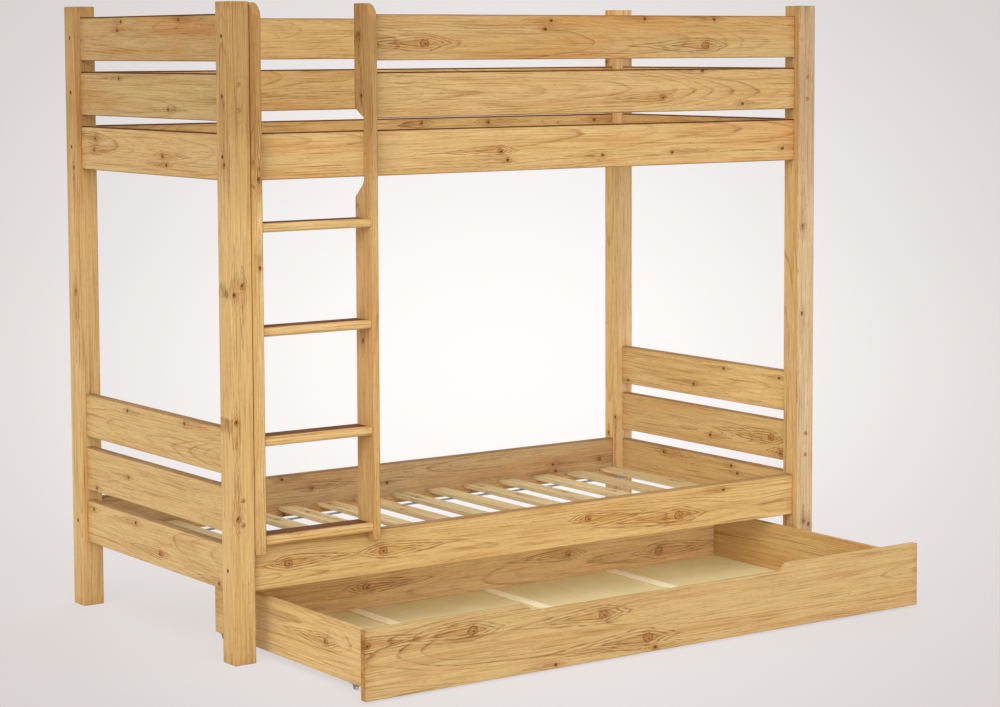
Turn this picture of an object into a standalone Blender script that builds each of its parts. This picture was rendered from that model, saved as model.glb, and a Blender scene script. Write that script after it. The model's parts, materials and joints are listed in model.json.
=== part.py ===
# Pine bunk bed for two mattresses of 0.90 x 2.00 m, with a ladder and a drawer on castors underneath.
# Metres, +Z up. X runs along the bed, -Y is the open side with the ladder, and the posts stand on Z = 0.
# The drawer rests partly drawn out. The origin is on the floor under the middle of the whole outline.

import math

import bpy
from mathutils import Vector

# Posts
BED_LENGTH = 2.100
BED_WIDTH = 1.000
POST_HEIGHT = 1.805
POST_SIDE = 0.067
POST_EDGE = 0.003

# Boards: rails, guards and end boards are all cut from one planed section
BOARD_WIDTH = 0.129
BOARD_THICKNESS = 0.025
BOARD_GAP = 0.032
BOARD_EDGE = 0.0025
POST_HEAD = 0.032
LOWEST_BOARD = 0.195
END_INSET = 0.018
SIDE_INSET = 0.020
BOARDS_PER_END = 3

# Ledgers, screwed to the rails, and the slats that they carry
LEDGER_WIDTH = 0.025
LEDGER_LIFT = 0.002
LEDGER_HEIGHT = 0.018
SLAT_COUNT = 14
SLAT_PITCH = 0.1423
SLAT_WIDTH = 0.064
SLAT_THICKNESS = 0.012
SLAT_SIDE_GAP = 0.007
SLAT_END_GAP = 0.003
STRAP_WIDTH = 0.022
STRAP_THICKNESS = 0.0015
STRAP_BITE = 0.0005
STRAP_SETBACK = 0.130

# Ladder
STILE_THICKNESS = 0.023
STILE_DEPTH = 0.085
STILE_PROUD = 0.0195
STILE_TOP_DROP = 0.002
STILE_HOOK = 0.024
STILE_CORNER = 0.042
STILE_EDGE = 0.002
LADDER_POST_GAP = 0.002
LADDER_CLEAR_WIDTH = 0.3455
NOTCH_CURVE = 0.037
NOTCH_SLOPE = math.radians(42)
NOTCH_HEADROOM = 0.035
NOTCH_RISE = 0.026
RUNG_THICKNESS = 0.024
RUNG_SETBACK = 0.002
RUNG_NOSING = 0.009
RUNG_SEAT = 0.0010
RUNG_BOTTOMS = (0.598, 0.898, 1.182)

# Drawer
DRAWER_PULLED = 0.551
DRAWER_SETBACK = 0.002
DRAWER_DEPTH = 0.884
FRONT_END_GAP = 0.007
FRONT_THICKNESS = 0.022
FRONT_BOTTOM = 0.006
FRONT_TOP = 0.193
FRONT_EDGE = 0.002
GRIP_DEPTH = 0.0215
GRIP_FLOOR_WIDTH = 0.890
GRIP_FLARE = 0.017
BOX_INSET = 0.123
BOX_BOARD = 0.020
BOX_BOTTOM = 0.0185
BOX_TOP = 0.169
REBATE_DEPTH = 0.008
PANEL_TOP = 0.024
PANEL_THICKNESS = 0.004
BATTEN_WIDTH = 0.038
BATTEN_THICKNESS = 0.004
BATTEN_PITCH = 0.479
BATTEN_EDGE = 0.001
BATTEN_COUNT = 3

# Castors
WHEEL_RADIUS = 0.0075
WHEEL_WIDTH = 0.008
WHEEL_BORE = 0.0023
WHEEL_EDGE = 0.0012
WHEEL_PLAY = 0.0005
CHEEK_THICKNESS = 0.0012
CHEEK_BOSS = 0.0045
PLATE_LENGTH = 0.032
PLATE_THICKNESS = 0.0013
PLATE_INSET = 0.0015
AXLE_RADIUS = 0.0020
CASTOR_FRONT_SETBACK = 0.140
CASTOR_REAR_SETBACK = 0.035

# Clearances, and the facets of round shapes
FIT = 0.0003
WELD = 0.00005
ARC_STEPS = 8
TURN_STEPS = 24
SHARP_ANGLE = math.radians(40)

# Colours: linear red, green and blue
PINE = (0.68, 0.42, 0.17)
PINE_SLAT = (0.62, 0.53, 0.35)
PINE_BATTEN = (0.78, 0.66, 0.44)
HARDBOARD = (0.58, 0.47, 0.27)
STEEL = (0.16, 0.16, 0.17)
NYLON = (0.78, 0.77, 0.73)

# Levels and faces that several pieces share
side_rail_bottom = LOWEST_BOARD
side_rail_top = LOWEST_BOARD + BOARD_WIDTH
board_step = BOARD_WIDTH + BOARD_GAP
top_board_bottom = POST_HEIGHT - POST_HEAD - BOARD_WIDTH
upper_rail_bottom = top_board_bottom - (BOARDS_PER_END - 1) * board_step
upper_rail_top = upper_rail_bottom + BOARD_WIDTH
rail_face = SIDE_INSET
rail_back = SIDE_INSET + BOARD_THICKNESS
stile_front = -STILE_PROUD
stile_back = stile_front + STILE_DEPTH
left_stile = POST_SIDE + LADDER_POST_GAP
right_stile = left_stile + STILE_THICKNESS + LADDER_CLEAR_WIDTH
drawer_front_y = DRAWER_SETBACK - DRAWER_PULLED

# Turns that lay an outline's own axes into the bed: along X it is drawn in Y and Z, along Y in X and Z
LAID = {
    "X": (math.radians(90), 0, math.radians(90)),
    "Y": (math.radians(90), 0, 0),
}


def new_collection(name):
    collection = bpy.data.collections.new(name)
    bpy.context.scene.collection.children.link(collection)
    return collection


def new_anchor(name, location):
    """An empty that carries a group of pieces."""
    anchor = bpy.data.objects.new(name, None)
    anchor.location = location
    parts.objects.link(anchor)
    return anchor


def finish(name, colour, roughness=0.5, metallic=0.0):
    """A material with one surface shader, named for its piece."""
    material = bpy.data.materials.new(name)
    material.use_nodes = True
    shader = material.node_tree.nodes["Principled BSDF"]
    shader.inputs["Base Color"].default_value = (*colour, 1)
    shader.inputs["Roughness"].default_value = roughness
    shader.inputs["Metallic"].default_value = metallic
    return material


def adopt(obj, name, anchor, material, collection=None):
    """Names an object, hangs it on its anchor and files it in one collection."""
    obj.name = name
    obj.data.name = name
    obj.parent = anchor
    obj.data.materials.clear()
    obj.data.materials.append(material)
    for owner in list(obj.users_collection):
        owner.objects.unlink(obj)
    (collection or parts).objects.link(obj)
    return obj


def make_helper(obj):
    obj.hide_render = True
    obj.display_type = "WIRE"
    return obj


def round_edges(obj, width):
    bevel = obj.modifiers.new("edges", "BEVEL")
    bevel.width = width
    bevel.segments = 1
    bevel.limit_method = "ANGLE"
    bevel.angle_limit = SHARP_ANGLE


def block(name, low, high, anchor, material, edge=0.0, collection=None):
    """A planed piece of timber between two corners."""
    low = Vector(low)
    high = Vector(high)
    bpy.ops.mesh.primitive_cube_add(size=1)
    obj = bpy.context.object
    obj.scale = high - low
    bpy.ops.object.transform_apply(location=False, rotation=False, scale=True)
    obj.location = (low + high) / 2
    if edge:
        round_edges(obj, edge)
    return adopt(obj, name, anchor, material, collection)


def arc(centre, radius, start, end, steps=ARC_STEPS):
    """Points on a circle, from one angle to another."""
    angles = [start + (end - start) * step / steps for step in range(steps + 1)]
    return [(centre[0] + radius * math.cos(a), centre[1] + radius * math.sin(a)) for a in angles]


def extrusion(name, outline, along, low, high, anchor, material, edge=0.0, collection=None):
    """A flat outline drawn out along X or Y between two places."""
    curve = bpy.data.curves.new(name, "CURVE")
    curve.dimensions = "2D"
    curve.fill_mode = "BOTH"
    curve.extrude = (high - low) / 2
    spline = curve.splines.new("POLY")
    spline.points.add(len(outline) - 1)
    for point, (across, up) in zip(spline.points, outline):
        point.co = (across, up, 0, 1)
    spline.use_cyclic_u = True
    obj = bpy.data.objects.new(name, curve)
    obj.rotation_euler = LAID[along]
    middle = (low + high) / 2
    obj.location = (middle, 0, 0) if along == "X" else (0, middle, 0)
    parts.objects.link(obj)
    if edge:
        weld = obj.modifiers.new("weld", "WELD")
        weld.merge_threshold = WELD
        round_edges(obj, edge)
    return adopt(obj, name, anchor, material, collection)


def turned(name, profile, material):
    """A closed ring of radius and height points, turned round its own Z axis."""
    mesh = bpy.data.meshes.new(name)
    corners = [(radius, 0, height) for radius, height in profile]
    ends = [(i, (i + 1) % len(corners)) for i in range(len(corners))]
    mesh.from_pydata(corners, ends, [])
    obj = bpy.data.objects.new(name, mesh)
    screw = obj.modifiers.new("turn", "SCREW")
    screw.steps = TURN_STEPS
    screw.render_steps = TURN_STEPS
    screw.use_merge_vertices = True
    screw.merge_threshold = WELD / 2
    obj.data.materials.append(material)
    return obj


def fixed_mesh(obj, name):
    """The evaluated shape of an object as a mesh of its own."""
    bpy.context.view_layer.update()
    graph = bpy.context.evaluated_depsgraph_get()
    mesh = bpy.data.meshes.new_from_object(obj.evaluated_get(graph), depsgraph=graph)
    mesh.name = name
    mesh.shade_smooth()
    mesh.set_sharp_from_angle(angle=SHARP_ANGLE)
    return mesh


def unite(obj, other):
    union = obj.modifiers.new(other.name, "BOOLEAN")
    union.operation = "UNION"
    union.solver = "EXACT"
    union.object = other


def mirrored(low, high, whole):
    """The span at the far side of a width that answers to one at its near side."""
    return whole - high, whole - low


def make_posts(anchor):
    near = {"front": (0, POST_SIDE), "rear": mirrored(0, POST_SIDE, BED_WIDTH)}
    ends = {"left": (0, POST_SIDE), "right": mirrored(0, POST_SIDE, BED_LENGTH)}
    for depth, (y_low, y_high) in near.items():
        for end, (x_low, x_high) in ends.items():
            name = f"post_{depth}_{end}"
            low = (x_low, y_low, 0)
            high = (x_high, y_high, POST_HEIGHT)
            block(name, low, high, anchor, finish(name, PINE), POST_EDGE)


def make_end_boards(anchor):
    spans = {
        "left": (END_INSET, END_INSET + BOARD_THICKNESS),
        "right": mirrored(END_INSET, END_INSET + BOARD_THICKNESS, BED_LENGTH),
    }
    levels = {"lower": LOWEST_BOARD, "upper": upper_rail_bottom}
    y_low, y_high = POST_SIDE + FIT, BED_WIDTH - POST_SIDE - FIT
    for end, (x_low, x_high) in spans.items():
        for level, bottom in levels.items():
            for row in range(BOARDS_PER_END):
                name = f"{level}_{end}_end_board_{row + 1}"
                z_low = bottom + row * board_step
                low = (x_low, y_low, z_low)
                high = (x_high, y_high, z_low + BOARD_WIDTH)
                block(name, low, high, anchor, finish(name, PINE), BOARD_EDGE)


def make_side_board(name, near_side, x_low, z_low, anchor):
    """A rail or guard that ends at the right-hand post."""
    span = (rail_face, rail_back)
    y_low, y_high = span if near_side else mirrored(*span, BED_WIDTH)
    low = (x_low + FIT, y_low, z_low)
    high = (BED_LENGTH - POST_SIDE - FIT, y_high, z_low + BOARD_WIDTH)
    block(name, low, high, anchor, finish(name, PINE), BOARD_EDGE)


def make_rails(anchor):
    guard_bottoms = [upper_rail_bottom + row * board_step for row in range(1, BOARDS_PER_END)]
    for side in ("front", "rear"):
        near_side = side == "front"
        make_side_board(f"lower_{side}_rail", near_side, POST_SIDE, side_rail_bottom, anchor)
        make_side_board(f"upper_{side}_rail", near_side, POST_SIDE, upper_rail_bottom, anchor)
        guard_start = right_stile + STILE_THICKNESS if near_side else POST_SIDE
        for row, z_low in enumerate(guard_bottoms, 1):
            make_side_board(f"{side}_guard_{row}", near_side, guard_start, z_low, anchor)


def make_ledgers(anchor):
    span = (rail_back + FIT, rail_back + FIT + LEDGER_WIDTH)
    sides = {"front": span, "rear": mirrored(*span, BED_WIDTH)}
    for level, rail_bottom in {"lower": side_rail_bottom, "upper": upper_rail_bottom}.items():
        z_low = rail_bottom + LEDGER_LIFT
        for side, (y_low, y_high) in sides.items():
            name = f"{level}_{side}_ledger"
            low = (POST_SIDE + FIT, y_low, z_low)
            high = (BED_LENGTH - POST_SIDE - FIT, y_high, z_low + LEDGER_HEIGHT)
            block(name, low, high, anchor, finish(name, PINE), BATTEN_EDGE)


def make_slat_mats(anchor):
    """Each mat is a row of slats held by two straps under them."""
    last_right = BED_LENGTH - POST_SIDE - SLAT_END_GAP
    y_low = rail_back + SLAT_SIDE_GAP
    strap_y = y_low + STRAP_SETBACK
    strap_gap = BED_WIDTH - 2 * strap_y - STRAP_WIDTH
    first_left = last_right - (SLAT_COUNT - 1) * SLAT_PITCH - SLAT_WIDTH
    for level, rail_bottom in {"lower": side_rail_bottom, "upper": upper_rail_bottom}.items():
        name = f"{level}_slat_mat"
        underside = rail_bottom + LEDGER_LIFT + LEDGER_HEIGHT + FIT
        low = (last_right - SLAT_WIDTH, y_low, underside)
        high = (last_right, BED_WIDTH - y_low, underside + SLAT_THICKNESS)
        material = finish(name, PINE_SLAT)
        mat = block(name, low, high, anchor, material)
        row = mat.modifiers.new("row", "ARRAY")
        row.count = SLAT_COUNT
        row.use_relative_offset = False
        row.use_constant_offset = True
        row.constant_offset_displace = (-SLAT_PITCH, 0, 0)
        strap_low = (first_left, strap_y, underside - STRAP_THICKNESS)
        strap_high = (last_right, strap_y + STRAP_WIDTH, underside + STRAP_BITE)
        straps = block(f"{level}_straps", strap_low, strap_high, anchor, material, 0, helpers)
        pair = straps.modifiers.new("pair", "ARRAY")
        pair.count = 2
        pair.use_relative_offset = False
        pair.use_constant_offset = True
        pair.constant_offset_displace = (0, strap_gap, 0)
        unite(mat, make_helper(straps))


def stile_outline():
    """The side view of a stile: hooked over the lower rail and notched round the upper one."""
    face = rail_face - FIT
    foot = side_rail_top + FIT
    top = POST_HEIGHT - STILE_TOP_DROP
    notch_bottom = upper_rail_bottom - FIT
    notch_top = upper_rail_top + NOTCH_HEADROOM
    curve = arc((face + NOTCH_CURVE, notch_bottom), NOTCH_CURVE, math.pi + (math.pi / 2 - NOTCH_SLOPE), math.pi)
    slope_run = stile_back - curve[0][0]
    slope_foot = curve[0][1] - slope_run * math.tan(NOTCH_SLOPE)
    corner_centre = (stile_front + STILE_CORNER, top - STILE_CORNER)
    corner = arc(corner_centre, STILE_CORNER, math.pi / 2, math.pi)
    hook = [(stile_front, side_rail_top - STILE_HOOK), (face, side_rail_top - STILE_HOOK), (face, foot)]
    rear = [(stile_back, foot), (stile_back, slope_foot), *curve]
    head = [(face, notch_top), (stile_back, notch_top + NOTCH_RISE), (stile_back, top)]
    return [*hook, *rear, *head, *corner]


def rung_outline(bottom):
    """A tread with a rounded nosing at the front."""
    front = stile_front + RUNG_SETBACK
    top = bottom + RUNG_THICKNESS
    lower = arc((front + RUNG_NOSING, bottom + RUNG_NOSING), RUNG_NOSING, 3 * math.pi / 2, math.pi)
    upper = arc((front + RUNG_NOSING, top - RUNG_NOSING), RUNG_NOSING, math.pi, math.pi / 2)
    return [(stile_back, bottom), *lower, *upper, (stile_back, top)]


def make_ladder(anchor):
    for name, x_low in {"ladder_stile_left": left_stile, "ladder_stile_right": right_stile}.items():
        x_high = x_low + STILE_THICKNESS
        extrusion(name, stile_outline(), "X", x_low, x_high, anchor, finish(name, PINE), STILE_EDGE)
    x_low = left_stile + STILE_THICKNESS + FIT
    for row, bottom in enumerate((side_rail_top + RUNG_SEAT, *RUNG_BOTTOMS), 1):
        name = f"ladder_rung_{row}"
        outline = rung_outline(bottom)
        extrusion(name, outline, "X", x_low, right_stile - FIT, anchor, finish(name, PINE))


def make_drawer_front(anchor):
    """The front board, with a wide shallow grip cut into its top edge."""
    left, right = POST_SIDE + FRONT_END_GAP, BED_LENGTH - POST_SIDE - FRONT_END_GAP
    middle = BED_LENGTH / 2
    floor_half = GRIP_FLOOR_WIDTH / 2
    mouth_half = floor_half + GRIP_FLARE
    grip = [
        (middle + mouth_half, FRONT_TOP),
        (middle + floor_half, FRONT_TOP - GRIP_DEPTH),
        (middle - floor_half, FRONT_TOP - GRIP_DEPTH),
        (middle - mouth_half, FRONT_TOP),
    ]
    outline = [(left, FRONT_BOTTOM), (right, FRONT_BOTTOM), (right, FRONT_TOP), *grip, (left, FRONT_TOP)]
    name = "drawer_front"
    extrusion(name, outline, "Y", 0, FRONT_THICKNESS, anchor, finish(name, PINE), FRONT_EDGE)


def box_board_outline(outer, inner):
    """The end view of a box board, rebated underneath on its inner side for the bottom panels."""
    rebate = inner + math.copysign(REBATE_DEPTH, outer - inner)
    seat = PANEL_TOP + FIT
    return [(outer, BOX_BOTTOM), (outer, BOX_TOP), (inner, BOX_TOP), (inner, seat), (rebate, seat), (rebate, BOX_BOTTOM)]


def make_drawer_box(anchor):
    y_low, y_high = FRONT_THICKNESS + FIT, DRAWER_DEPTH
    spans = {
        "drawer_side_left": (BOX_INSET, BOX_INSET + BOX_BOARD),
        "drawer_side_right": (BED_LENGTH - BOX_INSET, BED_LENGTH - BOX_INSET - BOX_BOARD),
    }
    for name, (outer, inner) in spans.items():
        outline = box_board_outline(outer, inner)
        extrusion(name, outline, "Y", y_low, y_high, anchor, finish(name, PINE))
    x_low = BOX_INSET + BOX_BOARD + FIT
    outline = box_board_outline(DRAWER_DEPTH, DRAWER_DEPTH - BOX_BOARD)
    name = "drawer_back"
    extrusion(name, outline, "X", x_low, BED_LENGTH - x_low, anchor, finish(name, PINE))


def make_drawer_bottom(anchor):
    """Panels lie in the rebates, and a batten covers each joint between two of them."""
    x_low = BOX_INSET + BOX_BOARD - REBATE_DEPTH + FIT
    x_high = BED_LENGTH - x_low
    y_low = FRONT_THICKNESS + FIT
    box_back = DRAWER_DEPTH - BOX_BOARD
    first_joint = BED_LENGTH / 2 - BATTEN_PITCH * (BATTEN_COUNT - 1) / 2
    joints = [first_joint + BATTEN_PITCH * column for column in range(BATTEN_COUNT)]
    for column, (left, right) in enumerate(zip([x_low, *joints], [*joints, x_high])):
        name = f"drawer_panel_{column + 1}"
        low = (left + FIT / 2, y_low, PANEL_TOP - PANEL_THICKNESS)
        high = (right - FIT / 2, box_back + REBATE_DEPTH - FIT, PANEL_TOP)
        block(name, low, high, anchor, finish(name, HARDBOARD))
    for column, joint in enumerate(joints):
        name = f"drawer_batten_{column + 1}"
        low = (joint - BATTEN_WIDTH / 2, y_low, PANEL_TOP + FIT)
        high = (joint + BATTEN_WIDTH / 2, box_back - FIT, PANEL_TOP + FIT + BATTEN_THICKNESS)
        block(name, low, high, anchor, finish(name, PINE_BATTEN), BATTEN_EDGE)


def bracket_mesh():
    """A plate with two cheeks and the axle between them, drawn round the axle's centre."""
    steel = finish("castor_bracket", STEEL, 0.45, 0.8)
    plate_top = BOX_BOTTOM - FIT - WHEEL_RADIUS
    plate_half = BOX_BOARD / 2 - PLATE_INSET
    low = (-plate_half, -PLATE_LENGTH / 2, plate_top - PLATE_THICKNESS)
    plate = block("castor_plate", low, (plate_half, PLATE_LENGTH / 2, plate_top), None, steel, 0, helpers)
    cheek_inner = WHEEL_WIDTH / 2 + WHEEL_PLAY
    cheek_outer = cheek_inner + CHEEK_THICKNESS
    cheek_top = plate_top - PLATE_THICKNESS / 2
    round_end = arc((0, 0), CHEEK_BOSS, math.pi, 2 * math.pi)
    outline = [(PLATE_LENGTH / 3, cheek_top), (-PLATE_LENGTH / 3, cheek_top), *round_end]
    for side in (-1, 1):
        span = sorted((side * cheek_inner, side * cheek_outer))
        cheek = extrusion(f"castor_cheek_{side}", outline, "X", *span, None, steel)
        solid = bpy.data.objects.new(f"castor_cheek_solid_{side}", fixed_mesh(cheek, cheek.name))
        solid.matrix_world = cheek.matrix_world
        solid.modifiers.new("weld", "WELD").merge_threshold = WELD
        helpers.objects.link(solid)
        bpy.data.objects.remove(cheek)
        unite(plate, make_helper(solid))
    bpy.ops.mesh.primitive_cylinder_add(vertices=TURN_STEPS, radius=AXLE_RADIUS, depth=2 * cheek_inner + CHEEK_THICKNESS)
    axle = bpy.context.object
    axle.rotation_euler = (0, math.radians(90), 0)
    unite(plate, make_helper(adopt(axle, "castor_axle", None, steel, helpers)))
    mesh = fixed_mesh(make_helper(plate), "castor_bracket")
    mesh.transform(plate.matrix_world)
    return mesh


def wheel_mesh():
    nylon = finish("castor_wheel", NYLON, 0.4)
    half = WHEEL_WIDTH / 2
    outer = [(WHEEL_RADIUS - WHEEL_EDGE, half), (WHEEL_RADIUS, half - WHEEL_EDGE)]
    rim = outer + [(radius, -height) for radius, height in reversed(outer)]
    wheel = turned("castor_wheel_profile", [*rim, (WHEEL_BORE, -half), (WHEEL_BORE, half)], nylon)
    helpers.objects.link(make_helper(wheel))
    return fixed_mesh(wheel, "castor_wheel")


def make_castors(anchor):
    bracket, wheel = bracket_mesh(), wheel_mesh()
    middle = BOX_INSET + BOX_BOARD / 2
    sides = {"left": middle, "right": BED_LENGTH - middle}
    rows = {"front": CASTOR_FRONT_SETBACK, "rear": DRAWER_DEPTH - CASTOR_REAR_SETBACK}
    for row, y in rows.items():
        for side, x in sides.items():
            for piece, mesh, turn in (("bracket", bracket, 0), ("wheel", wheel, math.radians(90))):
                obj = bpy.data.objects.new(f"castor_{piece}_{row}_{side}", mesh)
                obj.location = (x, y, WHEEL_RADIUS)
                obj.rotation_euler = (0, turn, 0)
                obj.parent = anchor
                parts.objects.link(obj)


for leftover in list(bpy.data.objects):
    bpy.data.objects.remove(leftover)

parts = new_collection("bunk_bed")
helpers = new_collection("cutters")
bed_corner = Vector((-BED_LENGTH / 2, -(drawer_front_y + BED_WIDTH) / 2, 0))
bed = new_anchor("bed_frame", bed_corner)
drawer = new_anchor("drawer", bed_corner + Vector((0, drawer_front_y, 0)))

make_posts(bed)
make_end_boards(bed)
make_rails(bed)
make_ledgers(bed)
make_slat_mats(bed)
make_ladder(bed)
make_drawer_front(drawer)
make_drawer_box(drawer)
make_drawer_bottom(drawer)
make_castors(drawer)
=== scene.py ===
import json
import math
import random

import bmesh
import bpy
from mathutils import Matrix, Vector

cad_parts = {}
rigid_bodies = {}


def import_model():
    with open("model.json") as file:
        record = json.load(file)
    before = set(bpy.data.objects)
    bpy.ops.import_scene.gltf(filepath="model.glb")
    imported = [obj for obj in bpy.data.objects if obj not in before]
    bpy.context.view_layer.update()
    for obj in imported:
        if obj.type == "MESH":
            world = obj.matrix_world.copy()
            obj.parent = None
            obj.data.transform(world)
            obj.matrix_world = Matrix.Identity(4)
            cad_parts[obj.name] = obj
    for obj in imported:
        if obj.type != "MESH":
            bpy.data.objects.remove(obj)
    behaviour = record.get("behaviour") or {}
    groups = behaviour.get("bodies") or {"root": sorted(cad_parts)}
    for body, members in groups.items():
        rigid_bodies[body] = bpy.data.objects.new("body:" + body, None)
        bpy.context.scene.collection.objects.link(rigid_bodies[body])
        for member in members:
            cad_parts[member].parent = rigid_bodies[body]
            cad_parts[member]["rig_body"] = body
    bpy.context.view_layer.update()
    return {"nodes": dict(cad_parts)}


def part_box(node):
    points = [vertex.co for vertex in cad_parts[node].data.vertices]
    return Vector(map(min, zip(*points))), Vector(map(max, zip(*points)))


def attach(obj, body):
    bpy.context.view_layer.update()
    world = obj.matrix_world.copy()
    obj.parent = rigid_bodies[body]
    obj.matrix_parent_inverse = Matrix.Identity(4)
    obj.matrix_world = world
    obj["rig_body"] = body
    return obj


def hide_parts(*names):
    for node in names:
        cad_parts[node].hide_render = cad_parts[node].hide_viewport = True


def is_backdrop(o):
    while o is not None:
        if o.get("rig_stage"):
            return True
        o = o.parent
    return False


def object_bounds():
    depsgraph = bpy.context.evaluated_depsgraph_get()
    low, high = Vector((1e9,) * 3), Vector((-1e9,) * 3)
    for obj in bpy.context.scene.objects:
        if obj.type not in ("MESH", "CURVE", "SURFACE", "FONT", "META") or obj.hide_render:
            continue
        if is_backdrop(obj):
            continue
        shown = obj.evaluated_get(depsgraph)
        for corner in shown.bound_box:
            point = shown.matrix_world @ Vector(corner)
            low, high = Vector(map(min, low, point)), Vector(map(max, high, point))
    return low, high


# Pine bunk bed with a ladder and a drawer on castors. Metres, +Z up, ladder side at -Y.
# Every timber carries its own grain, tree, tone and knots as attributes, and one wood shader reads them.
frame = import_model()
bodyOf = {name: node["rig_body"] for name, node in frame["nodes"].items()}
acrossX, alongY, upZ = 0, 1, 2
print("frame loaded:", len(bodyOf), "pieces")


# a screen colour from 0 to 255, as the linear colour that a shader takes
def linear(red, green, blue):
    shares = [value / 255 for value in (red, green, blue)]
    return tuple(s / 12.92 if s <= 0.04045 else ((s + 0.055) / 1.055) ** 2.4 for s in shares) + (1,)


# a value in a node tree, so that a sum of such values can be written as one
class Wire:
    def __init__(self, socket):
        self.socket = socket

    def __add__(self, other):
        return calc("ADD", self, other)

    def __sub__(self, other):
        return calc("SUBTRACT", self, other)

    def __rsub__(self, other):
        return calc("SUBTRACT", other, self)

    def __mul__(self, other):
        return calc("MULTIPLY", self, other)

    def __truediv__(self, other):
        return calc("DIVIDE", self, other)


# feeds inputs of a node, each from a wire or with a value
def feed(node, feeds):
    for name, value in feeds.items():
        if isinstance(value, Wire):
            node.id_data.links.new(value.socket, node.inputs[name])
        else:
            node.inputs[name].default_value = value


# a node in the given tree, or else in the tree that its feeds come from
def addNode(kind, feeds=(), tree=None, **settings):
    feeds = dict(feeds)
    tree = tree or next(value.socket.id_data for value in feeds.values() if isinstance(value, Wire))
    node = tree.nodes.new(kind)
    for setting, value in settings.items():
        setattr(node, setting, value)
    feed(node, feeds)
    return node


# one output of such a node
def made(kind, feeds=(), output=0, tree=None, **settings):
    return Wire(addNode(kind, feeds, tree, **settings).outputs[output])


def outputsOf(node):
    return {socket.name: Wire(socket) for socket in node.outputs}


# a tree with named sockets, what it is given, and the node that takes its results
def newTree(name, kind, inputs, outputs):
    tree = bpy.data.node_groups.new(name, kind)
    for way, sockets in (("INPUT", inputs), ("OUTPUT", outputs)):
        for socket, socketKind in sockets.items():
            tree.interface.new_socket(socket, in_out=way, socket_type="NodeSocket" + socketKind)
    return tree, outputsOf(addNode("NodeGroupInput", tree=tree)), addNode("NodeGroupOutput", tree=tree)


def calc(operation, *values, clamp=False):
    return made("ShaderNodeMath", enumerate(values), operation=operation, use_clamp=clamp)


def blend(share, first, second, mode="MIX"):
    feeds = {0: share, 6: first, 7: second}
    return made("ShaderNodeMix", feeds, 2, data_type="RGBA", blend_type=mode)


# lays a tint over a colour, as a stain does
def tinted(share, colour, tint):
    return blend(share, colour, tint, "MULTIPLY")


# a colour ramp with stops of (place, grey or colour)
def ramp(value, stops):
    node = addNode("ShaderNodeValToRGB", {0: value})
    band = node.color_ramp
    while len(band.elements) < len(stops):
        band.elements.new(1)
    for element, (place, colour) in zip(band.elements, stops):
        element.position = place
        element.color = colour if isinstance(colour, tuple) else (colour, colour, colour, 1)
    return Wire(node.outputs[0])


def span(value, low, high, newLow=0.0, newHigh=1.0):
    return made("ShaderNodeMapRange", {0: value, 1: low, 2: high, 3: newLow, 4: newHigh})


def split(vector):
    return list(outputsOf(addNode("ShaderNodeSeparateXYZ", {0: vector})).values())


def join(x, y, z):
    return made("ShaderNodeCombineXYZ", {0: x, 1: y, 2: z})


def vectorMath(operation, *vectors, output=0):
    return made("ShaderNodeVectorMath", enumerate(vectors), output, operation=operation)


def lengthOf(vector):
    return vectorMath("LENGTH", vector, output="Value")


# scale is in patterns per metre, one number for each direction
def noise(place, scale, detail=2.0, roughness=0.5, output="Fac"):
    stretched = vectorMath("MULTIPLY", place, scale)
    feeds = {"Vector": stretched, "Scale": 1.0, "Detail": detail, "Roughness": roughness}
    return made("ShaderNodeTexNoise", feeds, output)


# noise that swings about zero
def sway(place, scale, reach, detail=2.0):
    return (noise(place, scale, detail) - 0.5) * reach


def bump(height, strength, depth):
    return made("ShaderNodeBump", {"Strength": strength, "Distance": depth, "Height": height})


# a material, its shader, and the coordinates of the object that wears it
def newMaterial(name):
    material = bpy.data.materials.new(name)
    material.use_nodes = True
    tree = material.node_tree
    return material, tree.nodes["Principled BSDF"], outputsOf(addNode("ShaderNodeTexCoord", tree=tree))


# Wood

# A timber has room for knotCount knots, and the ones it lacks lie far off.
knotCount = 6
farKnot = (-9.0, 0.0, 0.001)
knotForm = {
    "shorten": 0.72, "closeEnd": 0.10, "farEnd": 0.30, "pull": 1.3, "soften": 0.3, "tip": 0.25,
    "heartAlong": 0.25, "heartAcross": 0.22, "heartLargest": 0.0046, "heartLeast": 0.0016,
    "heartShrink": 0.22, "turnChance": 733.0,
}


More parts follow.
